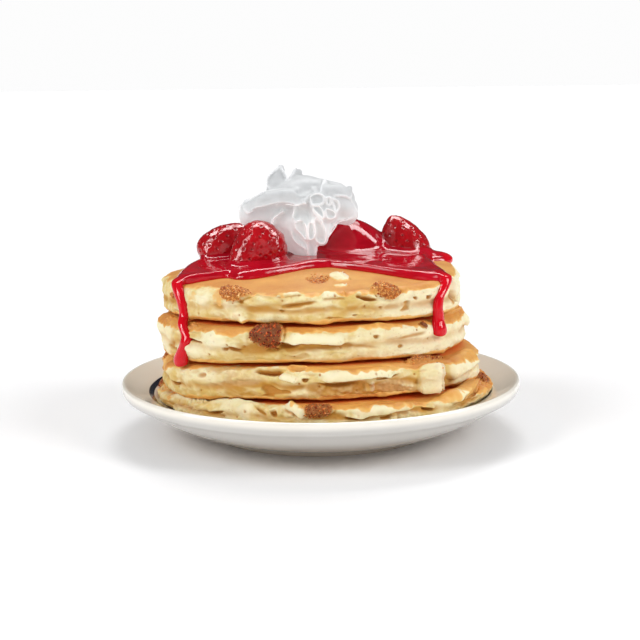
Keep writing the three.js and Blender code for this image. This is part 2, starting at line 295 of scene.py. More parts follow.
studio = {
    "camera": (-0.0005, -0.7, 0.181),
    "aim": (0.0, 0.0, 0.056),
    "lens": 78.2,
    "sensor": 36.0,
    "roll": -0.011,  # in radians
    "floorSide": 30.0,
    "roomLight": 0.48,  # how bright the room is as light, as seen behind, and in reflections
    "roomSeen": 0.98,
    "roomShine": 0.06,
    "glintAim": (0, 0, 0.08),
    # name, where it shines from, strength, how wide it looks in degrees
    "lamps": [
        ("lampLeft", (-0.85, -0.45, 0.68), 1.09, 24),
        ("lampRight", (0.85, -0.38, 0.6), 1.08, 24),
        ("lampFront", (0.05, -1.0, 0.3), 0.22, 30),
        ("lampBack", (0.1, 0.7, 1.0), 0.85, 24),
    ],
    # soft boxes that only show as reflections: name, place, width, height, power
    "glints": [
        ("glintLeft", (-0.8, -0.25, 0.42), 0.22, 0.5, 4.5),
        ("glintRight", (0.8, -0.15, 0.42), 0.2, 0.45, 4.0),
        ("glintAbove", (0.0, 0.25, 0.9), 1.4, 0.22, 15.0),
    ],
}


def lookingAt(place, aim, roll=0.0):
    turn = (Vector(aim) - Vector(place)).to_track_quat("-Z", "Y").to_matrix().to_4x4()
    return Matrix.Translation(place) @ turn @ Matrix.Rotation(roll, 4, "Z")


def makeStudio():
    scene = bpy.context.scene
    scene.view_settings.view_transform = "Standard"
    camera = bpy.data.objects.new("camera", bpy.data.cameras.new("camera"))
    camera.data.lens = studio["lens"]
    camera.data.sensor_width = studio["sensor"]
    camera.matrix_world = lookingAt(studio["camera"], studio["aim"], studio["roll"])
    scene.collection.objects.link(camera)
    scene.camera = camera
    world = bpy.data.worlds.new("paleRoom")
    scene.world = world
    world.use_nodes = True
    nodes, links = world.node_tree.nodes, world.node_tree.links
    rays = nodes.new("ShaderNodeLightPath").outputs
    shine, level = nodes.new("ShaderNodeMapRange"), nodes.new("ShaderNodeMapRange")
    shine.inputs["To Min"].default_value = studio["roomLight"]
    shine.inputs["To Max"].default_value = studio["roomShine"]
    level.inputs["To Max"].default_value = studio["roomSeen"]
    links.new(rays["Is Glossy Ray"], shine.inputs["Value"])
    links.new(rays["Is Camera Ray"], level.inputs["Value"])
    links.new(shine.outputs[0], level.inputs["To Min"])
    links.new(level.outputs[0], nodes["Background"].inputs["Strength"])
    nodes["Background"].inputs["Color"].default_value = (1.0, 1.0, 1.0, 1.0)
    for name, place, strength, width in studio["lamps"]:
        light = bpy.data.lights.new(name, "SUN")
        light.energy = strength
        light.angle = math.radians(width)
        lamp = bpy.data.objects.new(name, light)
        lamp.matrix_world = lookingAt(place, (0, 0, 0))
        scene.collection.objects.link(lamp)
    for name, place, width, height, watts in studio["glints"]:
        light = bpy.data.lights.new(name, "AREA")
        light.shape = "RECTANGLE"
        light.size, light.size_y, light.energy = width, height, watts
        lamp = bpy.data.objects.new(name, light)
        lamp.visible_diffuse = False
        lamp.matrix_world = lookingAt(place, studio["glintAim"])
        scene.collection.objects.link(lamp)
    side = studio["floorSide"] / 2 / mm
    square = np.array([[-side, -side, 0], [side, -side, 0], [side, side, 0], [-side, side, 0]])
    pale = Finish("paleFloor")
    tone = pale.blend(pale.noise(pale.place(), 90), paint(250, 250, 251), paint(252, 252, 253))
    floor = objectFrom("floor", meshFrom("floor", square, [np.array([[0, 1, 2, 3]])]),
                       pale.surface(Base_Color=tone, Roughness=0.9, Specular_IOR_Level=0.1))


makeStudio()
print("studio ready")


# plate

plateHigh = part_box("plate")[1]
plate = {
    "rimRadius": plateHigh.x / mm,
    "rimHeight": plateHigh.z / mm,
    "floorRadius": 60.0,
    "floorHeight": 9.0,
    "slope": [(68, 11.4), (78, 16.8), (88.5, 22.4), (95, 25.2)],  # radius and height on the way up
    "lipDepth": 7.0,
    "foot": [(59, 2.4), (58.6, 1.2), (58.2, 0.3), (57.4, 0.0), (54.6, 0.0), (53.9, 0.4), (53.2, 1.6),
             (52, 2.2)],
    "underHeight": 2.4,
    "floorShares": (0.03, 0.3, 0.6, 0.8, 0.9, 0.97),
    "bandRadius": 86.6,
    "bandWidth": 2.6,
    "bandHeights": (18.5, 19.5),  # it fades in here, so that the underside has none
    "warmShadeHeights": (15, 7),  # and a painted warm shade, with reflected warm light, grows downwards here
    # the sloping line that parts the top face from the underside and the lip's front, as a rise and a drop at
    # the middle; above it the glaze is painted lighter as lit, below it darker as shaded
    "faceRise": 0.453,
    "faceDrop": 21.5,
    "segments": 260,
}
slopeEnd = (plate["rimRadius"] - 2, plate["rimHeight"] - 0.2)
slopePoints = np.array([(plate["floorRadius"], plate["floorHeight"])] + plate["slope"] + [slopeEnd])


def throughPoints(points, steps):
    # Catmull-Rom curve through rows of numbers, ends held
    p = np.asarray(points, float)
    padded = np.vstack([2 * p[0] - p[1], p, 2 * p[-1] - p[-2]])
    t = np.linspace(0, len(p) - 1, steps)
    i = np.minimum(t.astype(int), len(p) - 2)
    f = (t - i)[:, None]
    a, b, c, d = padded[i], padded[i + 1], padded[i + 2], padded[i + 3]
    square = 2 * a - 5 * b + 4 * c - d
    cube = 3 * b - a - 3 * c + d
    return 0.5 * (2 * b + (c - a) * f + square * f ** 2 + cube * f ** 3)


def plateTop(radius):
    curve = throughPoints(slopePoints, 60)
    return np.interp(radius, curve[:, 0], curve[:, 1])


def glazeFinish():
    glaze = Finish("chinaGlaze")
    place = glaze.place()
    flat = glaze.node("ShaderNodeVectorMath", {"operation": "MULTIPLY"}, {0: place, 1: (1 / mm, 1 / mm, 0)})
    radius = glaze.node("ShaderNodeVectorMath", {"operation": "LENGTH"}, {0: flat}, output="Value")
    wobble = (glaze.noise(place, 9, 2) - 0.5) * 0.35
    fromBand = radius + wobble - plate["bandRadius"]
    offBand = glaze.node("ShaderNodeMath", {"operation": "ABSOLUTE"}, {0: fromBand})
    height = glaze.node("ShaderNodeSeparateXYZ", {}, {0: place}, output="Z") * (1 / mm)
    half, blur = plate["bandWidth"] / 2, 0.2
    band = glaze.ease(offBand, half - blur, half + blur, 1.0, 0.0) * glaze.ease(height, *plate["bandHeights"])
    cloud = glaze.noise(place, 30, 4)
    # painted shade: this darker glaze is the lip's front and underside in shade, and the top face gets a
    # lighter copy further down
    china = glaze.blend(cloud, paint(205, 202, 196), paint(213, 210, 205))
    # painted shade: the lower glaze is tinted darker and warmer, as shade and warm light thrown back onto the
    # underside
    china = glaze.blend(glaze.ease(height, *plate["warmShadeHeights"]) * 0.8, china, paint(204, 188, 170))
    # painted light: the top face above the sloping line takes a lighter copy of the same glaze
    slope = glaze.ease(height - (radius * plate["faceRise"] - plate["faceDrop"]), -1.5, 1.5)
    china = glaze.blend(slope, china, glaze.blend(cloud, paint(245, 239, 226), paint(250, 246, 237)))
    speck = glaze.ease(glaze.noise(place, 1.1, 2), 0.74, 0.8)
    china = glaze.blend(speck * 0.25, china, paint(205, 190, 168))
    colour = glaze.blend(band, china, paint(14, 16, 44))
    soft = glaze.bump(glaze.noise(place, 14, 2), 0.12, 0.5)
    rough = glaze.ease(cloud, 0.3, 0.7, 0.1, 0.2)
    return glaze.surface(Base_Color=colour, Roughness=rough, Normal=soft,
                         Coat_Weight=0.35, Coat_Roughness=0.04, IOR=1.45)


def makePlate():
    rim, top = plate["rimRadius"], plate["rimHeight"]
    lip = [(rim - 2, top - 0.2), (rim - 1.1, top - 0.02), (rim - 0.3, top - 0.5), (rim, top - 1.7),
           (rim - 0.2, top - 4), (rim - 1.2, top - 6), (rim - 2.6, top - plate["lipDepth"])]
    under = [lip[-1], (rim - 6, top - 9), (86, 12.6), (74, 6.8), (64, 3.4), plate["foot"][0]]
    floor = [(share * plate["floorRadius"], plate["floorHeight"]) for share in plate["floorShares"]]
    beneath = [(radius, plate["underHeight"]) for radius in (40, 20, 2)]
    section = np.vstack([floor, throughPoints(slopePoints, 60), throughPoints(lip, 34)[1:],
                         throughPoints(under, 40)[1:], throughPoints(plate["foot"], 30)[1:], beneath])
    turn = np.linspace(0, 2 * np.pi, plate["segments"], endpoint=False)
    rings = np.stack([section[:, :1] * np.sin(turn), -section[:, :1] * np.cos(turn),
                      np.repeat(section[:, 1:], len(turn), 1)], -1)
    poles = [[0, 0, plate["floorHeight"]], [0, 0, plate["underHeight"]]]
    points = np.vstack([rings.reshape(-1, 3), poles])
    mesh = meshFrom("china_plate", points, gridFaces(len(section), len(turn)))
    return finishPiece(objectFrom("china_plate", mesh, glazeFinish()), "china", "plate")


makePlate()
print("plate done")


# the layers that the pancakes lie between

levels = [  # height, rise for each millimetre towards +X, how far front and back stand above the middle
    (plate["floorHeight"], 0, 0),
    (29.5, 0.02, 3.4),
    (46.6, 0.012, 3.2),
    (65.4, 0, 1.8),
    (86.2, 0.012, -0.4),
]
saddleReach = 80.0
edge = {
    "rounding": 6.5,
    "halfHeight": 9.0,  # about half a pancake's thickness, for even steps along the section
    "fullness": 2.7,
    "lowFullness": 3.9,
    "flatGap": 0.175,  # between a flat face and the level it lies on
    "droopPower": 2.6,
    "bottomShares": (0.985, 0.94, 0.8, 0.5, 0.15),  # the underside's rings, outermost first
}
bottomRings = len(edge["bottomShares"])


def levelAt(index, x, y):
    height, tilt, saddle = levels[index]
    return height + tilt * x + saddle * (y * y - x * x) / saddleReach ** 2


def undersideAt(number, x, y):
    level = levelAt(number - 1, x, y)
    return np.maximum(level, plateTop(np.hypot(x, y))) if number == 1 else level


# pancakes, from the bottom up

# Brown is a row of (azimuth, depth): how far the browned face reaches down over the edge.
# Each feature is kind, azimuth, height, width, tall, depth, turn in degrees. A place on the top
# face has its distance from the pancake's middle for a height, and ends in "top". Toast is how
# dark the lumps are, and paleFrom the azimuths over which the edge grows paler.
pancakes = {
    1: {
        "x": 1.8, "y": 0.0, "radius": 86.5, "droop": 1.2, "seed": 11, "toast": 0.6,
        "paleFrom": (60, 90), "topRings": 18, "edgeRings": 82,
        "waves": [(2, 0.9, 0.3), (3, 0.8, 1.9), (7, 0.7, 4.0)],
        "brown": [(-150, 3), (-90, 0.5), (-60, -1), (-20, -1.5), (-6, 1.5), (10, 1.6), (30, 1), (50, 0.9),
                  (66, 1.2), (80, 2.3), (130, 3)],
        "features": [
            ("bulge", -60, 31, 20, 8, 3.2, 0), ("rough", -49, 28, 17, 12, 2.2, 0),
            ("hollow", -41, 27.9, 5, 2.4, 2.4, 0), ("hollow", -15.4, 28.3, 3, 4, 2.4, 25),
            ("bulge", -31, 30.4, 30, 8, 1.9, -3), ("hollow", -37, 25, 10, 2.2, 1.8, 8),
            ("bulge", -25, 28, 10, 9, 2.4, 0), ("crease", -20, 29, 9, 1.6, 1.8, -35),
            ("rough", -52, 22, 26, 6, 1.4, 0), ("rough", -11, 30, 8, 7, 1.6, 0),
            ("lip", -8.5, 30.4, 9, 5, 2, -24), ("rough", -7, 27.5, 9, 5, 0.9, 0),
            ("lump", -2, 29.6, 13, 6.6, 1.8, 0), ("hollow", 9.8, 26, 11, 2.6, 2.4, 0),
            ("hollow", 18.3, 25.3, 6, 3, 2.4, 10), ("hollow", 33.2, 26.8, 7, 2.4, 2.4, -12),
            ("lip", 18, 29.8, 30, 4.5, 1.6, 3), ("rough", 25, 25, 16, 5, 1.4, 0),
            ("lip", 56, 32, 42, 7.5, 3.2, 9), ("hollow", 60, 27.2, 26, 3.6, 2.6, 10),
            ("lump", 84, 32, 16, 6, 1.6, 20), ("rough", 78, 29, 16, 8, 1.8, 16),
            ("stain", 66, 24.5, 14, 3, 0.8, 16),
        ],
    },
    2: {
        "x": -0.6, "y": 0.5, "radius": 81.0, "droop": 1.2, "seed": 23, "toast": 0.38,
        "paleFrom": (48, 66), "topRings": 18, "edgeRings": 82,
        "waves": [(2, 0.8, 1.2), (5, 0.9, 0.4), (8, 0.6, 2.6)],
        "brown": [(-150, 2), (-90, 7), (-74, 8.4), (-61, 2.4), (-30, -0.5), (-14, -0.5), (0, 1.4),
                  (30, 2), (60, 3), (90, 3)],
        "features": [
            ("stain", -76, 40, 20, 12, 1, 0), ("lump", -82, 42, 9, 13, 1, 0),
            ("hollow", -16.4, 45.7, 15, 4.2, 3.4, -4), ("hollow", -7.2, 47.4, 8.8, 3.4, 2.6, -6),
            ("hollow", -4.4, 42.9, 3.4, 2.8, 2.2, 0), ("lip", -10, 44.2, 9, 3, 1.6, -14),
            ("gold", 14, 36.6, 50, 8, 1.1, 0), ("hollow", 6.5, 41, 21, 2.8, 2.6, 2),
            ("lip", 12, 45.4, 34, 5, 2.0, 2), ("hollow", 22.5, 42.6, 12, 1.8, 2.2, 8),
            ("block", 16.3, 38.4, 5, 5, 1, 0), ("hollow", 17, 39, 2, 2, 1, 0),
            ("rough", 26, 37.4, 20, 7, 0.9, 0), ("rough", -28, 42, 30, 9, 0.5, 0),
            ("lump", 38.6, 47.6, 16, 5.4, 2, 4), ("block", 40, 38.6, 16, 13, 3, 0),
            ("lump", 48.5, 50.6, 14, 3.4, 1, 0), ("lip", 61, 42, 30, 9, 2.8, 12),
            ("rough", 70, 37, 18, 7, 1.6, 12), ("hollow", -59.7, 33.8, 12, 2.8, 2.6, -8),
            ("bulge", -66, 39, 14, 8, 1.6, 0), ("bulge", -40, 40, 22, 9, 1.0, 0),
            ("lump", 112, 40, 12, 9, 1.6, 12),
        ],
    },
    3: {
        "x": -4.0, "y": 0.0, "radius": 77.4, "droop": 1.2, "seed": 37, "toast": 1.0,
        "paleFrom": (0, 40), "paleLeft": (-60, -68), "topRings": 18, "edgeRings": 82,
        "waves": [(3, 1.0, 2.5), (4, 0.7, 5.1), (9, 0.5, 0.8)],
        "brown": [(-160, 2), (-70, 3.5), (-48, 2.6), (-26, 2.2), (-16, 1.6), (0, 1.2), (30, 0.6), (50, 2),
                  (66, 3.5), (100, 3)],
        "features": [
            ("bulge", -47, 53, 36, 9, 1.7, 4), ("hollow", -47, 57.2, 20, 2.4, 2.4, -7),
            ("bulge", -80, 57, 17, 12, 3, 0), ("rough", -50, 62.4, 13, 8, 1.8, 0),
            ("rough", -72, 62, 10, 6, 1.6, 0), ("lump", -15.5, 62.4, 15.5, 12, 2.4, 12),
            ("hollow", -8.6, 58.7, 12, 4, 3.6, -4), ("lip", 2, 61.8, 26, 5.4, 1.8, -2),
            ("bulge", -34.5, 58.8, 17, 13, 1.9, -28), ("hollow", -27.5, 55.4, 7, 2.6, 2, -14),
            ("hollow", -30.5, 54.8, 3.4, 2.2, 1.4, 0), ("hollow", 22.7, 60.4, 2.8, 2.2, 1.5, 0),
            ("bulge", 25.3, 64.8, 9, 3.4, 0.8, 0), ("lump", 44.4, 63.1, 4, 4.6, 1, 0),
            ("hollow", 55, 64.3, 10, 4.4, 2.6, 0), ("lip", 72, 66, 20, 6, 2.0, -4),
            ("rough", 78, 62, 14, 6, 1.6, 0), ("hollow", 32.5, 54.5, 3, 1.8, 1, 10),
            ("crease", 12, 57.5, 34, 1.4, 0.9, -5), ("crease", 38, 59, 20, 1.4, 0.8, 8),
            ("lump", 155, 58, 13, 9, 1.8, -10), ("lump", 238, 59, 11, 9, 1.8, 20),
        ],
    },
    4: {
        "x": -3.4, "y": 0.5, "radius": 75.0, "droop": 4.6, "seed": 53, "toast": 0.0,
        "paleFrom": (16, 40), "topRings": 46, "edgeRings": 62,
        "waves": [(2, 0.7, 4.4), (5, 0.8, 3.0), (7, 0.6, 1.1)],
        "brown": [(-160, 0.5), (-60, 1), (-45, -0.6), (-30, 1.2), (-14, 0.2), (10, 0.5), (28, 1.6),
                  (50, 1.8), (70, 0.5)],
        "features": [
            ("lump", -64, 74.6, 9, 3.4, 1.2, 0), ("stain", -49.9, 76.6, 9, 5.6, 0.6, 0),
            ("lump", -30.2, 80.2, 16, 8.2, 2.4, -6), ("stain", -36.5, 77, 5, 8, 0.8, 25),
            ("bulge", -31.5, 75.4, 8, 7, 1.6, 40), ("bulge", -27.8, 71.2, 9, 6, 1.9, 30),
            ("bulge", -25.6, 68.6, 6, 4, 2.2, 20), ("stain", -24.3, 67.4, 6, 4, 1, 0),
            ("crease", -4.8, 76.4, 17, 1.6, 1.8, 12), ("lip", -8.8, 80.6, 11, 2.8, 1, 0),
            ("lip", 7.6, 80.4, 11, 4.2, 1.4, 0), ("hollow", 19.9, 78.2, 12, 3, 3, -16),
            ("lump", 28.2, 80.6, 13, 8.4, 2.4, -22), ("hollow", 47.1, 76, 4.4, 2.8, 2, 0),
            ("hollow", 40.7, 76.2, 2.4, 2.2, 1.4, 0), ("lip", 66, 76, 10, 9, 2, -50),
            ("hollow", -10.8, 73.4, 2.4, 1.5, 1.1, 0), ("hollow", 15.3, 70.6, 2.6, 1.3, 1, 10),
            ("hollow", 25.4, 73.4, 2.2, 1.3, 1, 0), ("hollow", -4.8, 80, 2.4, 1, 1, 0),
            ("bulge", -43.3, 76, 12, 10, 0.9, 0), ("lump", 208, 77, 11, 9, 1.8, 40),
            ("pit", 3.2, 45, 10, 20, 2.0, 0, "top"), ("block", 16.3, 45, 9, 17, 0.8, 0, "top"),
            ("block", 12.7, 60, 7, 4, 0.5, 0, "top"),
        ],
    },
}
circleSteps = 790
randomSpan = (84.0, 276.0)  # the azimuths where features are placed at random
randomDepths = {"hollow": 2.4, "lip": 1.8, "lump": 1.6, "bulge": 1.5, "crease": 1.4, "rough": 0.8}
featureGain = {"hollow": 1.05, "lip": 1.25, "block": 1.3, "bulge": 1.2, "lump": 1.15}


def evenAngles(count):
    # angles on the edge's section with even steps along it
    fine = np.radians(np.linspace(88, -88, 900))
    across = edge["rounding"] * np.cos(fine) ** (2 / edge["fullness"])
    upwards = edge["halfHeight"] * power(np.sin(fine), 2 / edge["fullness"])
    length = np.concatenate([[0], np.cumsum(np.hypot(np.diff(across), np.diff(upwards)))])
    return np.interp(np.linspace(0, length[-1], count), length, fine)


def outlineOf(cake, azimuth):
    waves = sum(size * np.sin(lobes * azimuth + phase) for lobes, size, phase in cake["waves"])
    return cake["radius"] + waves


def randomFeatures(number, cake):
    # the sides and back have features of the same kinds, placed at random
    dice = np.random.default_rng(cake["seed"])
    low, high = levels[number - 1][0], levels[number][0] - cake["droop"]
    made = []
    azimuth, last = randomSpan
    while azimuth < last:
        kind = dice.choice(["hollow", "lip", "lump", "bulge", "crease", "rough", "hollow"])
        height = mix(low, high, dice.uniform(0.3, 0.75))
        width, tall = dice.uniform(7, 20), dice.uniform(2.6, 6)
        depth, turn = randomDepths[kind] * dice.uniform(0.7, 1.1), dice.uniform(-12, 12)
        made.append((kind, azimuth, height, width, tall, depth, turn))
        azimuth += dice.uniform(5, 11)
    return made


def sectionGrid(number, cake):
    # the plain pancake as rings of points, top middle to bottom middle, and its two poles
    u = np.linspace(0, 2 * np.pi, circleSteps, endpoint=False)
    azimuth = u - 0.3 * np.sin(u)  # closer together in front
    outline = outlineOf(cake, azimuth)
    flat = outline - edge["rounding"]
    topShares = (np.arange(1, cake["topRings"] + 1) / (cake["topRings"] + 0.4)) ** 0.6

    def outwards(distance):
        return cake["x"] + distance * np.sin(azimuth), cake["y"] - distance * np.cos(azimuth)

    def topAt(x, y, share):
        return levelAt(number, x, y) - cake["droop"] * share ** edge["droopPower"] - edge["flatGap"]

    def bottomAt(x, y):
        return undersideAt(number, x, y) + edge["flatGap"]

    rows = []
    for share in topShares:
        x, y = outwards(share * flat)
        rows.append(np.stack([x, y, topAt(x, y, share)], -1))
    for angle in evenAngles(cake["edgeRings"]):
        fullness = edge["fullness"] if angle > 0 else edge["lowFullness"]
        inwards = edge["rounding"] * (1 - np.cos(angle) ** (2 / fullness))
        upwards = power(np.sin(angle), 2 / fullness)
        x, y = outwards(outline - inwards)
        rows.append(np.stack([x, y, mix(bottomAt(x, y), topAt(x, y, 1.0), (1 + upwards) / 2)], -1))
    for share in edge["bottomShares"]:
        x, y = outwards(share * flat)
        rows.append(np.stack([x, y, bottomAt(x, y)], -1))
    poles = np.array([[cake["x"], cake["y"], topAt(cake["x"], cake["y"], 0.0)],
                      [cake["x"], cake["y"], bottomAt(cake["x"], cake["y"])]])
    return azimuth, np.array(rows), poles


def featureSpace(feature, azimuth, plain, climb, cake, seed):
    # the points near a feature, and how far each is across and up from its middle, wandering a little
    kind, where, height, width, tall = feature[:5]
    edgeStart = cake["topRings"]
    column = int(np.argmin(np.abs(wrapped(np.degrees(azimuth) - where))))
    if feature[7:] == ("top",):
        radii = np.hypot(plain[:edgeStart, column, 0] - cake["x"], plain[:edgeStart, column, 1] - cake["y"])
        middle = np.interp(height, radii, climb[:edgeStart, column])
    else:
        heights = plain[edgeStart:-bottomRings, column, 2]
        middle = np.interp(height, heights[::-1], climb[edgeStart:-bottomRings, column][::-1])
    radius = np.hypot(plain[..., 0] - cake["x"], plain[..., 1] - cake["y"])
    across = np.radians(wrapped(np.degrees(azimuth) - where))[None, :] * radius
    up = climb - middle
    near = (np.abs(across) < width * 1.2 + 6) & (np.abs(up) < tall * 1.2 + 6) & (np.abs(across) < 60)
    rows, columns = np.nonzero(near)
    across, up, spots = across[rows, columns], up[rows, columns], plain[rows, columns]
    stray = {"lump": 0.2, "lip": 0.07, "block": 0.03}.get(kind, 0.12) * min(width, tall) + 0.4
    across = across + stray * (ripple(spots, 8, seed) + 0.25 * ripple(spots, 2.4, seed + 1))
    up = up + stray * 0.8 * (ripple(spots, 9, seed + 2) + 0.25 * ripple(spots, 2.2, seed + 3))
    turn = math.radians(feature[6])
    c, s = math.cos(turn), math.sin(turn)
    across, up = across * c + up * s, up * c - across * s
    return rows, columns, spots, across, up


featureFields = ("skin", "grain", "hollow", "pale", "toast")


def applyFeature(feature, fields, azimuth, plain, climb, cake, seed):
    kind = feature[0]
    width, tall, depth = feature[3:6]
    depth = depth * featureGain.get(kind, 1.0)
    rows, columns, spots, across, up = featureSpace(feature, azimuth, plain, climb, cake, seed)
    a, h = across / (width / 2), up / (tall / 2)
    far = np.hypot(a, h)
    inside = smooth(far, 1.15, 0.8)
    out = np.zeros_like(far)
    lift = np.zeros_like(far)
    skin, grain, hollow, pale, toast = [fields[key][rows, columns] for key in featureFields]
    if kind == "lump":
        dome = np.sqrt(np.clip(1.12 - far ** 2.4, 0, 1))
        stones = pebbles(spots, 1.5, seed + 7)[0]
        toast = np.maximum(toast, inside * cake["toast"])
        out = depth * dome + inside * (0.55 - stones) * 0.9 - 0.7 * bell(far - 1.15, 0.14)
        grain = np.maximum(grain, inside)
        skin = mix(skin, 0.62 + 0.25 * ripple(spots, 6, seed + 5), inside)
    elif kind in ("hollow", "pit"):
        floorShape = smooth(far, 1.1, 0.55)
        out = -depth * floorShape
        if kind == "hollow":
            brow = bell(h - 1.1, 0.4) * smooth(np.abs(a), 1.2, 0.7)
            out = out + 0.32 * depth * brow
            lift = -0.3 * depth * brow
        hollow = np.maximum(hollow, floorShape)
        skin = mix(skin, 0.3 if kind == "hollow" else 0.7, floorShape * 0.9)
        if kind == "pit":
            grain = np.maximum(grain, floorShape)
    elif kind == "lip":
        body = smooth(h, -1.0, -0.72) * smooth(h, 1.25, -0.2) * smooth(np.abs(a), 1.15, 0.75)
        out = depth * body
        lift = -0.55 * depth * body * smooth(h, 0.6, -0.8)
        pale = np.maximum(pale, 0.85 * body * smooth(h, 1.0, 0.1) * smooth(h, -1.05, 0.1))
        # the line under the lip's lower edge counts as hollow, for its painted shade
        hollow = np.maximum(hollow, 0.8 * bell(h + 1.25, 0.25) * smooth(np.abs(a), 1.1, 0.8))
    elif kind == "block":
        sharpness = 2.2 if feature[7:] else 5  # a rounder one on the top face
        square = (np.abs(a) ** sharpness + np.abs(h) ** sharpness) ** (1 / sharpness)
        body = smooth(square, 1.06, 0.86)
        out = depth * body * (1 - 0.25 * smooth(a, 0.1, -0.9))
        out = out + 0.5 * body * smooth(a, 0.25, 0.5) * np.sin(across * 2.4)
        pale = np.maximum(pale, body * smooth(a, -0.2, 0.5))
        skin = mix(skin, 0.1, body)
        grain = np.maximum(grain, 0.35 * smooth(a, 0.4, 0.8) * body)
    elif kind == "bulge":
        out = depth * np.exp(-(far ** 2) * 1.4)
        pale = np.maximum(pale, 0.75 * np.exp(-(far ** 2) * 1.8))
    elif kind == "crease":
        within = smooth(np.abs(a), 1.1, 0.5)
        groove = bell(up, tall * 0.55) * within
        out = -depth * groove + 0.35 * depth * bell(up - tall * 1.1, tall * 0.7) * within
        hollow = np.maximum(hollow, 0.6 * groove)
    elif kind == "rough":
        stones = pebbles(spots, 2.1, seed + 7)[0]
        out = inside * depth * (0.75 - stones * 1.3)
        pale = mix(pale, 0.5, inside * 0.6)
    # a rough shallow dip under a lip, painted darker as its shade through the hollow attribute
    elif kind == "gold":
        stones = pebbles(spots, 2.6, seed + 7)[0]
        out = -inside * depth * (0.3 + stones)
        hollow = np.maximum(hollow, 0.55 * inside)
    elif kind == "stain":
        skin = mix(skin, 0.55 + 0.2 * ripple(spots, 5, seed + 5), inside * depth)
    for key, value in zip(featureFields, (skin, grain, hollow, pale, toast)):
        fields[key][rows, columns] = value
    fields["out"][rows, columns] += out
    fields["lift"][rows, columns] += lift


def browning(cake, azimuth, plain, climb):
    # how browned each point is: the top face and what runs over the edge, then the underside
    edgeStart = cake["topRings"]
    degrees = np.degrees(azimuth)[None, :]
    reach = aroundAxis(cake["brown"], wrapped(degrees))
    below = plain[edgeStart][:, 2][None, :] - plain[..., 2]
    ragged = 1.4 * ripple(plain, 8, cake["seed"] + 90) + 0.8 * ripple(plain, 2.8, cake["seed"] + 91)
    onTop = (np.arange(len(plain)) < edgeStart)[:, None]
    overEdge = smooth(below - reach + ragged, 1.3, -0.5)
    inFromEdge = climb - climb[edgeStart][None, :]
    topSkin = smooth(inFromEdge + reach * 1.5 - ragged * 1.4, -0.8, 1.2)
    skin = np.maximum(np.where(onTop, topSkin, overEdge * (climb > 0)) * 0.9, 0)
    upFromUnder = plain[..., 2] - plain[-bottomRings, :, 2][None, :]
    under = smooth(upFromUnder + 0.5 * ragged, 3.0, 0.9) * (climb < 0)
    return np.maximum(skin, 0.8 * under), ragged, onTop


def addFolds(fields, plain, climb, sideness, seed):
    # broad bulges, a wandering groove between the batter's two halves, stretched folds and tears
    level = plain * np.array([1, 1, 0])
    seam = 2.2 * ripple(level, 26, seed + 1) + 0.8 * ripple(level, 9, seed + 2)
    groove = bell(climb - seam, 1.7) * (0.9 + 0.8 * ripple(level, 18, seed + 3))
    stretched = plain * np.array([1, 1, 2.6])
    waves = 0.7 * ripple(stretched, 12, seed + 5) + 0.38 * ripple(stretched, 5, seed + 6)
    fields["out"] += 1.1 * ripple(plain, 24, seed + 4) * smooth(climb, 16, 9)
    fields["out"] += sideness * (waves - groove)
    fields["hollow"] = np.maximum(fields["hollow"], 0.35 * groove * sideness)
    folded = plain * np.array([1, 1, 2.4])
    fold = smooth(1 - 2.2 * np.abs(ripple(folded, 10, seed + 70)), 0.45, 1.0)
    fields["out"] += 0.35 * sideness * (fold - 0.3)
    torn = ripple(plain * np.array([1, 1, 2.8]), 16, seed + 71)
    torn = torn + 0.25 * ripple(plain * np.array([1, 1, 2]), 5, seed + 72)
    torn = smooth(torn, 0.5, 0.68) * sideness * (1 - fields["skin"])
    fields["out"] -= 1.3 * torn
    fields["hollow"] = np.maximum(fields["hollow"], 0.6 * torn)
    return torn


def addPores(fields, plain, sideness, seed):
    # pores of two sizes where the crumb is bare, and the crumb itself
    bare = sideness * (1 - fields["skin"]) * (1 - fields["grain"])
    pores, own = pebbles(plain, 4.6, seed + 60)
    pore = smooth(pores, 0.17, 0.08) * (own > 0.62) * bare
    fields["out"] -= 0.7 * pore
    fields["hollow"] = np.maximum(fields["hollow"], pore)
    tiny, own = pebbles(plain, 1.9, seed + 61)
    tinyPore = smooth(tiny, 0.26, 0.12) * (own > 0.5) * bare
    fields["out"] -= 0.28 * tinyPore
    fields["hollow"] = np.maximum(fields["hollow"], 0.35 * tinyPore)
    fields["out"] += bare * (0.16 * ripple(plain, 2.3, seed + 62) + 0.09 * ripple(plain, 1.1, seed + 63))
    fields["out"] += (1 - bare) * sideness * 0.1 * ripple(plain, 1.6, seed + 64)


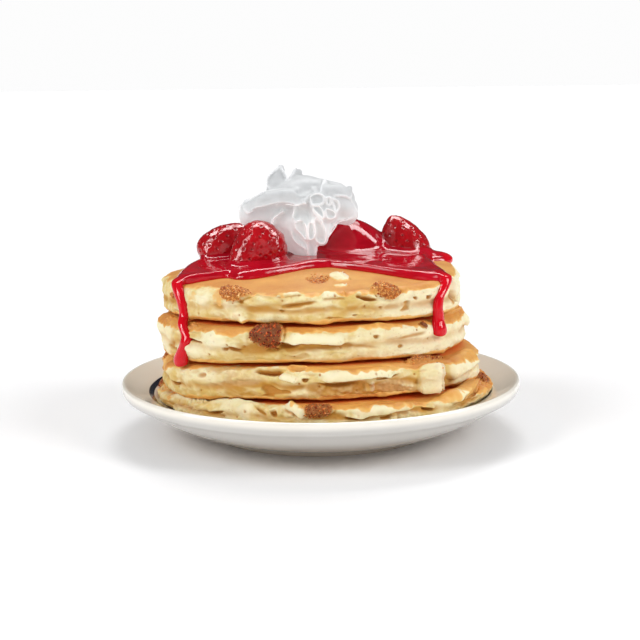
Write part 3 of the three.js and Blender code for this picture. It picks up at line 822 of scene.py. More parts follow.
def pancakePoints(number):
    cake = pancakes[number]
    azimuth, plain, poles = sectionGrid(number, cake)
    seed = cake["seed"]
    middleRow = cake["topRings"] + cake["edgeRings"] // 2
    steps = np.linalg.norm(np.diff(plain, axis=0), axis=-1)
    length = np.vstack([np.zeros((1, plain.shape[1])), np.cumsum(steps, axis=0)])
    climb = length[middleRow] - length  # up along the section, from the middle of the edge
    alongSection = np.gradient(plain, axis=0)
    alongEdge = np.roll(plain, -1, 1) - np.roll(plain, 1, 1)
    normal = np.cross(alongSection, alongEdge)
    normal /= np.linalg.norm(normal, axis=-1, keepdims=True) + 1e-9
    upwards = -alongSection / (np.linalg.norm(alongSection, axis=-1, keepdims=True) + 1e-9)

    skin, ragged, onTop = browning(cake, azimuth, plain, climb)
    sideness = smooth(np.abs(climb), 11, 7)
    fields = {key: np.zeros_like(skin) for key in featureFields + ("out", "lift", "shaded")}
    fields["skin"] = skin
    fields["low"] = smooth(climb, 2.0, -9.0)
    if number < len(pancakes):
        above = pancakes[number + 1]
        dx, dy = plain[..., 0] - above["x"], plain[..., 1] - above["y"]
        covered = outlineOf(above, np.arctan2(dx, -dy)) - edge["rounding"] - np.hypot(dx, dy)
        fields["shaded"] = smooth(covered + ragged, -9.0, 1.0) * onTop
    torn = addFolds(fields, plain, climb, sideness, seed)
    features = cake["features"] + randomFeatures(number, cake)
    for i, feature in enumerate(features):
        applyFeature(feature, fields, azimuth, plain, climb, cake, seed * 100 + i * 10)

    around = wrapped(np.degrees(azimuth)[None, :])
    paler = smooth(around, *cake["paleFrom"])
    if "paleLeft" in cake:
        paler = np.maximum(paler, smooth(around, *cake["paleLeft"]))
    paler = paler * smooth(np.abs(around), 130, 110)
    fields["pale"] = np.maximum(fields["pale"], 0.9 * paler * (1 - 0.5 * torn) * (1 - fields["hollow"]))
    # how far each point stands out or sinks in, which the crumb's painted shade and painted highlight follow
    fields["relief"] = np.clip(0.5 + 0.3 * fields["out"], 0, 1)
    addPores(fields, plain, sideness, seed)

    held = smooth(climb, climb[-1].mean(), climb[-bottomRings - 1].mean())  # the underside stays flat
    out, lift = fields["out"] * held, fields["lift"] * held
    shifted = plain + normal * out[..., None] + upwards * lift[..., None]
    if number == 1:
        clearance = 0.1
        floorHere = plateTop(np.hypot(shifted[..., 0], shifted[..., 1])) + clearance
        shifted[..., 2] = np.maximum(shifted[..., 2], floorHere)
    return shifted, poles, fields


def pancakeFinish():
    cake = Finish("pancakeCrumb")
    place = cake.place()
    skin = cake.attribute("skin")
    grain = cake.attribute("grain")
    hollow = cake.attribute("hollow")
    pale = cake.attribute("pale")
    broad = cake.noise(place, 17, 3)
    middle = cake.noise(place, 4.5, 3)
    fine = cake.noise(place, 1.1, 3, 0.65)
    yellow = cake.ease(broad * 0.6 + middle * 0.4, 0.36, 0.62)
    low = cake.attribute("low")
    relief = cake.attribute("relief")
    crumb = cake.blend(yellow, paint(242, 232, 188), paint(224, 194, 116))
    crumb = cake.blend(cake.ease(low + (middle - 0.5) * 0.8, 0.2, 1.1, 0.0, 0.6), crumb, paint(208, 164, 82))
    # painted shade: crumb that lies sunk below the surface is painted darker
    sunk = cake.ease(relief + (middle - 0.5) * 0.25, 0.52, 0.12)
    crumb = cake.blend(sunk * 0.9, crumb, paint(198, 144, 56))
    # painted highlight: raised crumb is painted lighter
    crumb = cake.blend(cake.ease(relief, 0.6, 1.0) * 0.6, crumb, paint(246, 238, 200))
    crumb = cake.blend(pale * 0.8, crumb, paint(250, 242, 209))
    # painted shade, partly the moister crumb's own deeper tone: hollows, pores, grooves, tears and the line
    # under lips are painted darker and warmer
    crumb = cake.blend(hollow * 0.9, crumb, paint(190, 122, 48))
    speck = cake.ease(cake.noise(place, 0.9, 1), 0.7, 0.78) * 0.3
    crumb = cake.blend(speck, crumb, paint(190, 140, 78))
    toastSkinAndShade = cake.node("ShaderNodeValToRGB", {"stops": [
        (0.0, paint(247, 216, 150)), (0.3, paint(241, 198, 122)), (0.6, paint(232, 174, 92)),
        (0.85, paint(208, 132, 58)), (1.0, paint(164, 84, 34))]},
        {"Fac": skin * 0.72 + (broad - 0.5) * 0.5 + fine * 0.1})
    # painted shade: the top face under the next pancake is painted a strong red-brown
    toastSkinAndShade = cake.blend(cake.attribute("shaded") * 0.88, toastSkinAndShade, paint(250, 112, 48))
    browned = cake.ease(skin + (middle - 0.5) * 0.5 + (fine - 0.5) * 0.25, 0.22, 0.5)
    colour = cake.blend(browned, crumb, toastSkinAndShade)
    nubSize = {"Vector": place, "Scale": 1 / (0.9 * mm)}
    nubs = cake.node("ShaderNodeTexVoronoi", {}, nubSize, output="Distance")
    darkNub = cake.ease(nubs, 0.2, 0.6)
    sugar = cake.blend(darkNub, paint(230, 156, 78), paint(166, 80, 24))
    sugar = cake.blend(cake.attribute("toast"), sugar, paint(104, 20, 4))
    colour = cake.blend(grain * 0.85, colour, sugar)
    softBump = cake.bump(fine, 0.22, 0.7)
    grainBump = cake.bump((1 - nubs) * grain, 0.5, 0.8, softBump)
    rough = cake.ease(skin, 0.2, 0.8, 0.72, 0.46)
    return cake.surface(Base_Color=colour, Roughness=rough, Normal=grainBump, Subsurface_Weight=0.22,
                        Subsurface_Radius=(1.0, 0.55, 0.28), Subsurface_Scale=0.0022, IOR=1.25)


crumbMaterial = pancakeFinish()
cakeRings = []


def makePancake(number):
    name = f"pancake_layer_{number}"
    rings, poles, fields = pancakePoints(number)
    rows, count = rings.shape[:2]
    points = np.vstack([rings.reshape(-1, 3), poles])
    attributes = {key: np.append(fields[key].ravel(), [0.9 if key == "skin" else 0] * 2)
                  for key in ("skin", "grain", "hollow", "pale", "low", "shaded", "relief", "toast")}
    mesh = meshFrom(name, points, gridFaces(rows, count), attributes)
    cakeRings.append(rings)
    return finishPiece(objectFrom(name, mesh, crumbMaterial), "pancake", f"pancake_{number}")


pancakePieces = [makePancake(number) for number in sorted(pancakes)]
print("pancakes done")


# strawberries

berries = {
    "strawberry_back_left": {"at": (-47.0, 25, 92.0), "length": 33, "radius": 12.4, "lean": -58,
                             "faces": -96, "seeds": 84, "fullness": 0.52},
    "strawberry_front_left": {"at": (-32.8, -12.2, 92.2), "length": 35, "radius": 13.5, "lean": 126,
                              "faces": -63, "seeds": 120, "fullness": 0.76},
    "strawberry_half": {"at": (18.2, 38, 87.0), "length": 35, "radius": 23.2, "lean": 6,
                        "faces": -60, "seeds": 0, "fullness": 0.66},
    "strawberry_right": {"at": (43.6, 36, 91), "length": 32, "radius": 14.4, "lean": 19,
                         "faces": -78, "seeds": 110, "fullness": 0.7},
}
berryShape = {
    "shoulder": 0.62,  # below 1 the widest place is nearer the stem end
    "inset": 0.25,  # left for the ripples that are added
    "rings": 118,
    "segments": 168,
    "dimple": 1.1,
    "dimpleDepth": 0.42,
}


def berryTurn(berry):
    faces = Matrix.Rotation(math.radians(berry["faces"]), 3, "Z")
    lean = Matrix.Rotation(math.radians(berry["lean"]), 3, "X")
    return np.array(faces @ lean)


def berryWidth(berry, along):
    return np.sin(np.pi * np.clip(along, 0, 1) ** berryShape["shoulder"]) ** berry["fullness"]


def berryPoint(berry, along, turn):
    radius = (berry["radius"] - berryShape["inset"]) * berryWidth(berry, along)
    height = (berry["length"] - 2 * berryShape["inset"]) * (along - 0.5) + 0 * turn
    return np.stack([radius * np.cos(turn), radius * np.sin(turn), height], -1)


def inPlace(berry, local):
    return local @ berryTurn(berry).T + np.array(berry["at"])


def berrySites(berry):
    # seeds wind round the berry at the golden angle, evenly over its area
    fine = np.linspace(0.03, 0.985, 400)
    area = np.cumsum(berryWidth(berry, fine))
    along = np.interp((np.arange(berry["seeds"]) + 0.5) / berry["seeds"], area / area[-1], fine)
    turn = np.arange(berry["seeds"]) * np.pi * (3 - math.sqrt(5))
    dice = np.random.default_rng(berry["seeds"])
    along = np.clip(along + dice.uniform(-0.012, 0.012, len(along)), 0.02, 0.985)
    turn = turn + dice.uniform(-0.12, 0.12, len(turn))
    return along, turn


def surfaceNormals(rings):
    down = np.gradient(rings, axis=0)
    across = np.roll(rings, -1, 1) - np.roll(rings, 1, 1)
    normal = np.cross(across, down)
    normal /= np.linalg.norm(normal, axis=-1, keepdims=True) + 1e-9
    outwards = np.sign((normal * (rings - rings.reshape(-1, 3).mean(0))).sum(-1).mean())
    return normal * outwards


def berryFinish(coated):
    berry = Finish("strawberryCoated" if coated else "strawberryGlaze")
    place = berry.place()
    dimple = berry.attribute("dimple")
    broad = berry.noise(place, 9, 3)
    fine = berry.noise(place, 1.6, 3)
    flesh = berry.blend(berry.ease(broad, 0.35, 0.65), paint(168, 10, 22), paint(190, 16, 28))
    # painted shade: the seed pits are painted darker
    flesh = berry.blend(dimple * 0.5, flesh, paint(112, 6, 16))
    veined = berry.ease(fine, 0.6, 0.75) * 0.3
    colour = berry.blend(veined, flesh, paint(204, 36, 42))
    wet = berry.bump(berry.noise(place, 3.2, 2), 0.35, 0.35 if coated else 0.6)
    rough = berry.ease(fine, 0.3, 0.7, 0.1, 0.2)
    return berry.surface(Base_Color=colour, Roughness=rough, Normal=wet, IOR=1.38, Coat_Weight=0.3,
                         Coat_Roughness=0.03, Coat_IOR=1.36, Subsurface_Weight=0.12,
                         Subsurface_Radius=(1.0, 0.1, 0.08), Subsurface_Scale=0.002)


berryMaterials = {False: berryFinish(False), True: berryFinish(True)}
seedRows = []


def makeBerry(name, berry):
    along = (1 - np.cos(np.pi * (np.arange(berryShape["rings"]) + 1) / (berryShape["rings"] + 1))) / 2
    along = 1 - along  # tip first, so that the first ring is the top one
    turn = np.linspace(0, 2 * np.pi, berryShape["segments"], endpoint=False)
    local = berryPoint(berry, along[:, None], turn[None, :])
    normal = surfaceNormals(local)
    seed = len(name)
    coated = berry["seeds"] == 0
    out = 0.5 * ripple(local, 13, seed) + 0.22 * ripple(local, 5, seed + 1)
    out += 0.25 * np.cos(5 * turn)[None, :] * smooth(along, 0.5, 0.05)[:, None]
    dimple = np.zeros(local.shape[:2])
    if not coated:
        siteAlong, siteTurn = berrySites(berry)
        sites = berryPoint(berry, siteAlong, siteTurn)
        size = berryShape["dimple"]
        for site in sites:
            gap = np.linalg.norm(local - site, axis=-1)
            dimple = np.maximum(dimple, np.exp(-(gap / (size * 0.62)) ** 2))
            out += 0.16 * bell(gap - size * 1.05, size * 0.4)
        out -= berryShape["dimpleDepth"] * dimple
        middle = local.reshape(-1, 3).mean(0)
        outward = sites - middle
        outward /= np.linalg.norm(outward, axis=-1, keepdims=True)
        seedRows.append((inPlace(berry, sites), outward @ berryTurn(berry).T))
    rings = inPlace(berry, local + normal * out[..., None])
    ends = inPlace(berry, berryPoint(berry, np.array([1.0, 0.0]), np.array([0.0, 0.0])))
    points = np.vstack([rings.reshape(-1, 3), ends])
    attributes = {"dimple": np.append(dimple.ravel(), [0, 0])}
    mesh = meshFrom(name + "_berry", points, gridFaces(*rings.shape[:2]), attributes)
    return finishPiece(objectFrom(name + "_berry", mesh, berryMaterials[coated]), "strawberry", name)


for name, berry in berries.items():
    makeBerry(name, berry)
print("strawberries done")


# geometry node trees for what is scattered

toastedNubs = {"density": 620000.0, "size": 0.55, "seed": 3}  # density is for a square metre
berrySeeds = {"size": 0.36, "sunk": 0.25, "seed": 4}


def newTree(name, sockets):
    tree = bpy.data.node_groups.new(name, "GeometryNodeTree")
    tree.interface.new_socket("Geometry", in_out="INPUT", socket_type="NodeSocketGeometry")
    for label, kind in sockets.items():
        tree.interface.new_socket(label, in_out="INPUT", socket_type="NodeSocket" + kind)
    tree.interface.new_socket("Geometry", in_out="OUTPUT", socket_type="NodeSocketGeometry")
    return tree


def treeNode(tree, kind, settings=None, inputs=None):
    made = tree.nodes.new(kind)
    for key, value in (settings or {}).items():
        setattr(made, key, value)
    for key, value in (inputs or {}).items():
        if isinstance(value, bpy.types.NodeSocket):
            tree.links.new(value, made.inputs[key])
        else:
            made.inputs[key].default_value = value
    return made


def endTree(tree, placed, material):
    # the instances become one shaded mesh with its material
    real = treeNode(tree, "GeometryNodeRealizeInstances", {}, {"Geometry": placed.outputs[0]})
    soft = treeNode(tree, "GeometryNodeSetShadeSmooth", {}, {"Geometry": real.outputs[0]})
    inputs = {"Geometry": soft.outputs[0], "Material": material}
    coloured = treeNode(tree, "GeometryNodeSetMaterial", {}, inputs)
    treeNode(tree, "NodeGroupOutput", {}, {0: coloured.outputs[0]})
    return tree


def grainTree():
    # small nubs over a surface, as dense as its grain attribute says
    tree = newTree("grainNubs", {"Density": "Float", "Size": "Float", "Seed": "Int", "Material": "Material"})
    given = tree.nodes.new("NodeGroupInput").outputs
    grain = treeNode(tree, "GeometryNodeInputNamedAttribute", {"data_type": "FLOAT"}, {"Name": "grain"})
    dense = treeNode(tree, "ShaderNodeMath", {"operation": "MULTIPLY"},
                     {0: grain.outputs[0], 1: given["Density"]})
    spread = treeNode(tree, "GeometryNodeDistributePointsOnFaces", {"distribute_method": "RANDOM"},
                      {"Mesh": given["Geometry"], "Density": dense.outputs[0], "Seed": given["Seed"]})
    nub = treeNode(tree, "GeometryNodeMeshUVSphere", {}, {"Segments": 6, "Rings": 4, "Radius": given["Size"]})
    size = treeNode(tree, "FunctionNodeRandomValue", {"data_type": "FLOAT_VECTOR"},
                    {0: (0.3, 0.3, 0.3), 1: (1.3, 1.1, 1.0), "Seed": 5})
    placed = treeNode(tree, "GeometryNodeInstanceOnPoints", {},
                      {"Points": spread.outputs["Points"], "Instance": nub.outputs["Mesh"],
                       "Rotation": spread.outputs["Rotation"], "Scale": size.outputs[0]})
    return endTree(tree, placed, given["Material"])


def seedTree():
    # one flattened seed at each point, standing along the point's outward attribute
    tree = newTree("berrySeeds", {"Size": "Float", "Seed": "Int", "Material": "Material"})
    given = tree.nodes.new("NodeGroupInput").outputs
    outward = treeNode(tree, "GeometryNodeInputNamedAttribute", {"data_type": "FLOAT_VECTOR"},
                       {"Name": "outward"})
    turned = treeNode(tree, "FunctionNodeAlignRotationToVector", {"axis": "Z"},
                      {"Vector": outward.outputs[0]})
    pip = treeNode(tree, "GeometryNodeMeshUVSphere", {}, {"Segments": 6, "Rings": 5, "Radius": given["Size"]})
    shaped = treeNode(tree, "GeometryNodeTransform", {},
                      {"Geometry": pip.outputs["Mesh"], "Scale": (0.62, 1.0, 0.42)})
    size = treeNode(tree, "FunctionNodeRandomValue", {"data_type": "FLOAT"},
                    {2: 0.8, 3: 1.15, "Seed": given["Seed"]})
    placed = treeNode(tree, "GeometryNodeInstanceOnPoints", {},
                      {"Points": given["Geometry"], "Instance": shaped.outputs[0],
                       "Rotation": turned.outputs[0], "Scale": size.outputs[1]})
    return endTree(tree, placed, given["Material"])


def grown(name, source, tree, inputs):
    # what a tree makes from a mesh, as a plain mesh
    carrier = bpy.data.objects.new(name + "Carrier", source)
    bpy.context.scene.collection.objects.link(carrier)
    modifier = carrier.modifiers.new("grow", "NODES")
    modifier.node_group = tree
    named = {item.name: item.identifier for item in tree.interface.items_tree if item.in_out == "INPUT"}
    for label, value in inputs.items():
        modifier[named[label]] = value
    bpy.context.view_layer.update()
    ready = carrier.evaluated_get(bpy.context.evaluated_depsgraph_get())
    mesh = bpy.data.meshes.new_from_object(ready)
    mesh.name = name
    carrier.modifiers.clear()
    bpy.data.objects.remove(carrier)
    return mesh


def joinedPiece(name, meshes):
    parts = [objectFrom(f"{name}Part{i}", mesh) for i, mesh in enumerate(meshes)]
    with bpy.context.temp_override(active_object=parts[0], object=parts[0], selected_objects=parts,
                                   selected_editable_objects=parts):
        bpy.ops.object.join()
    parts[0].name = name
    parts[0].data.name = name
    return parts[0]


def nubFinish():
    nub = Finish("toastedNubs")
    place = nub.place()
    tone = nub.noise(place, 1.6, 2)
    colour = nub.node("ShaderNodeValToRGB", {"stops": [
        (0.34, paint(150, 60, 14)), (0.46, paint(204, 110, 40)), (0.57, paint(240, 162, 78)),
        (0.7, paint(254, 222, 158))]}, {"Fac": tone})
    burnt = nub.blend(nub.ease(tone, 0.44, 0.56), paint(100, 14, 2), paint(212, 88, 34))
    colour = nub.blend(nub.attribute("toast") * 0.94, colour, burnt)
    return nub.surface(Base_Color=colour, Roughness=0.6, Normal=nub.bump(nub.noise(place, 0.4, 2), 0.06, 0.6),
                       Subsurface_Weight=0.15, Subsurface_Radius=(1.0, 0.5, 0.25), Subsurface_Scale=0.001,
                       Specular_IOR_Level=0.2)


def seedFinish():
    seed = Finish("berrySeedCoat")
    tone = seed.noise(seed.place(), 2.2, 2)
    colour = seed.blend(tone, paint(112, 10, 16), paint(158, 34, 28))
    return seed.surface(Base_Color=colour, Roughness=0.5, Specular_IOR_Level=0.2)


def makeNubs():
    tree = grainTree()
    material = nubFinish()
    meshes = []
    for i, piece in enumerate(pancakePieces):
        inputs = {"Density": toastedNubs["density"], "Size": toastedNubs["size"] * mm,
                  "Seed": toastedNubs["seed"] + i, "Material": material}
        meshes.append(grown(f"nubs{i}", piece.data, tree, inputs))
    return finishPiece(joinedPiece("toasted_nubs", meshes), "pancake")


def makeSeeds():
    places = np.vstack([row[0] for row in seedRows])
    outwards = np.vstack([row[1] for row in seedRows])
    sites = bpy.data.meshes.new("seedSites")
    sites.vertices.add(len(places))
    sunk = places - berrySeeds["sunk"] * outwards
    sites.vertices.foreach_set("co", (sunk * mm).astype(np.float32).ravel())
    layer = sites.attributes.new("outward", "FLOAT_VECTOR", "POINT")
    layer.data.foreach_set("vector", outwards.astype(np.float32).ravel())
    inputs = {"Size": berrySeeds["size"] * mm, "Seed": berrySeeds["seed"], "Material": seedFinish()}
    mesh = grown("strawberry_seeds", sites, seedTree(), inputs)
    return finishPiece(objectFrom("strawberry_seeds", mesh), "strawberry")


makeNubs()
makeSeeds()
print("nubs and seeds done")


# sauce

sauce = {
    "voxel": 0.6,
    "low": (-86.0, -84.0, 38.0),
    "high": (84.0, 82.0, 109.0),
    "thickness": 2.7,
    "sunk": 0.9,  # how deep it goes into the face below it
    "bead": 4.0,  # how wide its rounded rim is, then how high and where that stands up
    "beadRise": 1.2,
    "beadPlace": 4.6,
    "beadWidth": 3.4,
    "coat": 0.55,
    "coatRise": 3.4,  # how far the coat climbs a berry, and the coated half
    "halfRise": 60.0,
    "outline": [
        (-158, 60), (-124, 63), (-96, 63.5), (-84, 66.5), (-76, 69), (-70, 72), (-64, 74.5), (-60, 74),
        (-57, 65), (-52, 53), (-42, 54.5), (-34, 52), (-28, 44), (-20, 33), (-12, 27), (3, 22),
        (24, 21.5), (33, 31), (40, 41), (44, 54), (48, 67), (54, 73.5), (59, 75.5), (63, 74), (68, 69),
        (75, 65), (84, 62.5), (100, 59.5), (112, 66), (124, 70), (140, 62), (170, 58),
    ],
    "mound": {"at": (59, 31, 82), "size": (26, 18, 10), "turn": 28, "blend": 2.5},
    "meniscus": 2.6,
    "blur": 1.1,
    "dripBlend": 1.6,
    "dripEnd": 1.5,  # a drip closes between this far above and below its last station
    "sideFrom": (72, 76),  # where the top face has ended and the drips begin
    "melt": (-12.0, 1.0, 6.5),  # where cream has run into it: x, y and how far
}
# each drip's stations are height, azimuth, width and thickness
drips = {
    "left": [(86, -63.4, 9.6, 3.8), (81, -62.2, 10, 4.8), (77, -58.8, 8.6, 5), (72, -56.2, 7, 4.8),
             (66, -54.8, 6.4, 4.6), (61, -52.4, 6.2, 4.6), (57, -49.4, 8, 5), (54, -50.2, 6.8, 4.6),
             (51.4, -51.6, 6.4, 4.6), (48.4, -52.6, 8.6, 5.4), (45.6, -53.4, 10.6, 6),
             (43.6, -53.4, 9.8, 5.6)],
    "right": [(86, 59, 9, 3.6), (82, 59.4, 8.4, 4.6), (79, 56, 7.2, 4.4), (75, 52, 6.4, 4.4),
              (70, 50.8, 6.2, 4.6), (65.5, 51.4, 6.8, 5), (61, 51, 8.8, 5.6), (58.4, 51.2, 10.6, 6),
              (57, 51.4, 9.6, 5.4)],
}
top = len(pancakes)


def topFaceAt(x, y):
    # the height of the top pancake's face and upper edge
    cake = pancakes[top]
    dx, dy = x - cake["x"], y - cake["y"]
    radius = np.hypot(dx, dy)
    flat = outlineOf(cake, np.arctan2(dx, -dy)) - edge["rounding"]
    face = levelAt(top, x, y) - cake["droop"] * np.minimum(radius / flat, 1) ** edge["droopPower"]
    over = np.clip((radius - flat) / edge["rounding"], 0, 0.97)
    half = (face - undersideAt(top, x, y)) / 2
    return face - half * (1 - (1 - over ** edge["fullness"]) ** (1 / edge["fullness"]))


def stackReach(azimuth, heights):
    # how far the stack's side stands from the top pancake's axis at some heights near an azimuth
    axis = np.array([pancakes[top]["x"], pancakes[top]["y"]])
    least, sector, band, sunk = 60.0, 1.6, 0.8, 0.4  # the sector is in degrees
    reach = np.full(len(heights), least)
    for rings in cakeRings:
        spots = rings.reshape(-1, 3)
        flat = spots[:, :2] - axis
        turned = wrapped(np.degrees(np.arctan2(flat[:, 0], -flat[:, 1])) - azimuth)
        near = np.abs(turned) < sector
        far, z = np.hypot(*flat[near].T), spots[near][:, 2]
        for i, height in enumerate(heights):
            close = np.abs(z - height) < band
            if close.any():
                reach[i] = max(reach[i], far[close].max())
    # bridge the gaps between the layers, then ease
    span = 5
    padded = np.pad(reach, span, mode="edge")
    reach = np.max([padded[i:i + len(reach)] for i in range(2 * span + 1)], axis=0)
    kernel = np.exp(-np.linspace(-2, 2, 2 * span + 1) ** 2)
    return np.convolve(np.pad(reach, span, mode="edge"), kernel / kernel.sum(), "valid") - sunk


def sauceField():
    low = np.array(sauce["low"])
    x, y, z = [np.arange(start, end, sauce["voxel"]) for start, end in zip(sauce["low"], sauce["high"])]
    flatX, flatY = np.meshgrid(x, y, indexing="ij")
    cake = pancakes[top]
    dx, dy = flatX - cake["x"], flatY - cake["y"]
    azimuth = np.degrees(np.arctan2(dx, -dy))
    face = topFaceAt(flatX, flatY)
    spots = np.stack([flatX, flatY, 0 * flatX], -1)
    outline = aroundAxis(sauce["outline"], azimuth) + 0.7 * ripple(spots, 12, 5)
    inside = outline - np.hypot(dx, dy)
    thick = sauce["thickness"] * (1 + 0.12 * ripple(spots, 19, 6))
    thick = thick + sauce["beadRise"] * bell(inside - sauce["beadPlace"], sauce["beadWidth"])
    rounding = np.maximum(sauce["bead"] - inside, 0) / sauce["bead"]
    above = (z[None, None, :] - face[..., None]).astype(np.float32)
    field = (np.hypot(rounding[..., None], np.maximum(above, 0) / thick[..., None]) - 1) * thick[..., None]
    field = np.maximum(field, -above - sauce["sunk"]).astype(np.float32)
    mound = sauce["mound"]
    c, s = math.cos(math.radians(mound["turn"])), math.sin(math.radians(mound["turn"]))
    mx, my = flatX - mound["at"][0], flatY - mound["at"][1]
    half = np.array(mound["size"]) / 2
    far = np.sqrt((((mx * c + my * s) / half[0]) ** 2 + ((my * c - mx * s) / half[1]) ** 2)[..., None]
                  + ((z - mound["at"][2]) / half[2])[None, None, :] ** 2)
    field = smoothMin(field, ((far - 1) * half.min()).astype(np.float32), mound["blend"])
    grids = (flatX[..., None], flatY[..., None], z[None, None, :])
    for berry in berries.values():
        turn = berryTurn(berry)
        gap = [grid - at for grid, at in zip(grids, berry["at"])]
        local = [sum(gap[n] * turn[n][m] for n in range(3)) for m in range(3)]
        along = local[2] / berry["length"] + 0.5
        past = np.maximum(np.abs(local[2]) - berry["length"] / 2, 0)
        far = np.hypot(local[0], local[1]) - berry["radius"] * berryWidth(berry, along)
        # the coat thins with height until only the berry shows
        rise = sauce["halfRise"] if berry["seeds"] == 0 else sauce["coatRise"]
        coat = sauce["coat"] * (1 - np.maximum(above - sauce["thickness"], 0) / rise)
        near = np.maximum(far, past) * 0.8 - np.maximum(coat, -1.5)
        field = smoothMin(field, near.astype(np.float32), sauce["meniscus"])
    for stations in drips.values():
        addDrip(field, np.array(stations, float), x, y, z)
    return blurred(field, sauce["blur"]), low


def blurred(field, width):
    reach = int(3 * width)
    kernel = np.exp(-0.5 * (np.arange(-reach, reach + 1) / width) ** 2)
    kernel = (kernel / kernel.sum()).astype(np.float32)
    for axis in range(3):
        padded = np.pad(field, [(reach, reach) if axis == n else (0, 0) for n in range(3)], mode="edge")
        count = field.shape[axis]
        field = sum(share * np.take(padded, range(i, i + count), axis) for i, share in enumerate(kernel))
    return field


def addDrip(field, stations, x, y, z):
    # one drip down the stack's side, added to the field layer by layer
    stations = stations[::-1]  # lowest first, for interpolation
    heights = np.arange(stations[0, 0] - 4, stations[-1, 0] + 1, sauce["voxel"])
    azimuth, width, thick = [np.interp(heights, stations[:, 0], stations[:, n]) for n in (1, 2, 3)]
    kernel = np.ones(5) / 5
    padded = [np.pad(row, 2, mode="edge") for row in (azimuth, width, thick)]
    azimuth, width, thick = [np.convolve(row, kernel, "valid") for row in padded]
    middle, ending = stations[:, 1].mean(), sauce["dripEnd"]
    reach = stackReach(middle, heights) + 0.12 * thick
    cake = pancakes[top]
    angle = math.radians(middle)
    away, room = 80, 18  # how far out the part of the grid with the drip lies, and half its width
    centreX, centreY = cake["x"] + away * math.sin(angle), cake["y"] - away * math.cos(angle)
    i0, i1 = np.searchsorted(x, (centreX - room, centreX + room))
    j0, j1 = np.searchsorted(y, (centreY - room, centreY + room))
    k0, k1 = np.searchsorted(z, (heights[0], heights[-1]))
    flatX, flatY = np.meshgrid(x[i0:i1], y[j0:j1], indexing="ij")
    dx, dy = flatX - cake["x"], flatY - cake["y"]
    turned, far = np.degrees(np.arctan2(dx, -dy)), np.hypot(dx, dy)
    for k in range(k0, k1):
        at, wide, deep, out = [np.interp(z[k], heights, row) for row in (azimuth, width, thick, reach)]
        # the drop closes below its last station
        end = np.clip((stations[0, 0] + ending - z[k]) / (2 * ending), 0, 0.98)
        scale = math.sqrt(1 - end * end)
        across = np.radians(turned - at) * far / (wide / 2 * scale)
        off = (far - out) / (deep / 2 * (0.5 + 0.5 * scale))
        size = min(wide, deep) / 2 * scale
        here = (np.hypot(across, off) - 1) * size
        if z[k] < stations[0, 0] - ending:
            here = here + 2.0
        layer = field[i0:i1, j0:j1, k]
        field[i0:i1, j0:j1, k] = smoothMin(layer, here.astype(np.float32), sauce["dripBlend"])


def sauceFinish():
    red = Finish("strawberrySauce")
    place = red.place()
    thin = red.attribute("thin")
    milky = red.attribute("milky")
    broad = red.noise(place, 12, 3)
    deep = red.blend(red.ease(broad, 0.35, 0.65), paint(172, 9, 29), paint(193, 15, 37))
    colour = red.blend(thin, deep, paint(214, 14, 32))
    colour = red.blend(milky, colour, paint(226, 134, 126))
    pulp = red.ease(red.noise(place, 1.3, 2), 0.64, 0.74) * 0.35
    colour = red.blend(pulp, colour, paint(140, 10, 18))
    wavy = red.bump(red.noise(place, 6, 2), 0.15, 0.2, red.bump(red.noise(place, 15, 3), 0.7, 0.4))
    rough = red.ease(broad, 0.3, 0.7, 0.05, 0.12)
    return red.surface(Base_Color=colour, Roughness=rough, Normal=wavy, IOR=1.33,
                       Coat_Weight=0.1, Coat_Roughness=0.02, Coat_IOR=1.36, Subsurface_Weight=0.15,
                       Subsurface_Radius=(1.0, 0.06, 0.05), Subsurface_Scale=0.002)


def meshField(field, low, voxel):
    # the surface where a distance field is zero
    reach = 3.0
    grid = openvdb.FloatGrid(reach)
    grid.copyFromArray(np.ascontiguousarray(np.clip(field, -reach, reach), dtype=np.float32))
    points, triangles, quads = grid.convertToPolygons(0.0, 0.0)
    points = np.asarray(points) * voxel + low
    faces = [f[:, ::-1] for f in (np.asarray(quads), np.asarray(triangles)) if len(f)]
    return points, faces


def relaxed(points, faces, rounds, share=0.5):
    # each point moves towards the middle of its neighbours, then part of the way back
    pairs = np.concatenate([np.stack([f, np.roll(f, -1, 1)], -1).reshape(-1, 2) for f in faces])
    count = np.bincount(pairs.ravel(), minlength=len(points))[:, None]
    for step in range(rounds * 2):
        total = np.zeros_like(points)
        for axis in range(3):
            total[:, axis] = np.bincount(pairs[:, 0], points[pairs[:, 1], axis], len(points))
            total[:, axis] += np.bincount(pairs[:, 1], points[pairs[:, 0], axis], len(points))
        amount = share if step % 2 == 0 else -share * 0.96
        points = points + amount * (total / np.maximum(count, 1) - points)
    return points


def makeSauce():
    field, low = sauceField()
    points, faces = meshField(field, low, sauce["voxel"])
    points = relaxed(points, faces, 3)
    depth = points[:, 2] - topFaceAt(points[:, 0], points[:, 1])
    offSide = smooth(np.hypot(points[:, 0] - pancakes[top]["x"], points[:, 1]), *sauce["sideFrom"])
    thin = np.maximum(0.4 * smooth(depth, 2.2, 0.4), offSide)
    x, y, reach = sauce["melt"]
    milky = 0.55 * bell(np.hypot(points[:, 0] - x, points[:, 1] - y), reach)
    mesh = meshFrom("poured_sauce", points, faces, {"thin": thin, "milky": milky})
    print("sauce triangles", sum(len(p.vertices) - 2 for p in mesh.polygons))
    return finishPiece(objectFrom("poured_sauce", mesh, sauceFinish()), "sauce", "strawberry_sauce")


makeSauce()
print("sauce done")


# whipped cream: round bodies, and thin frills that grow thicker behind their edges

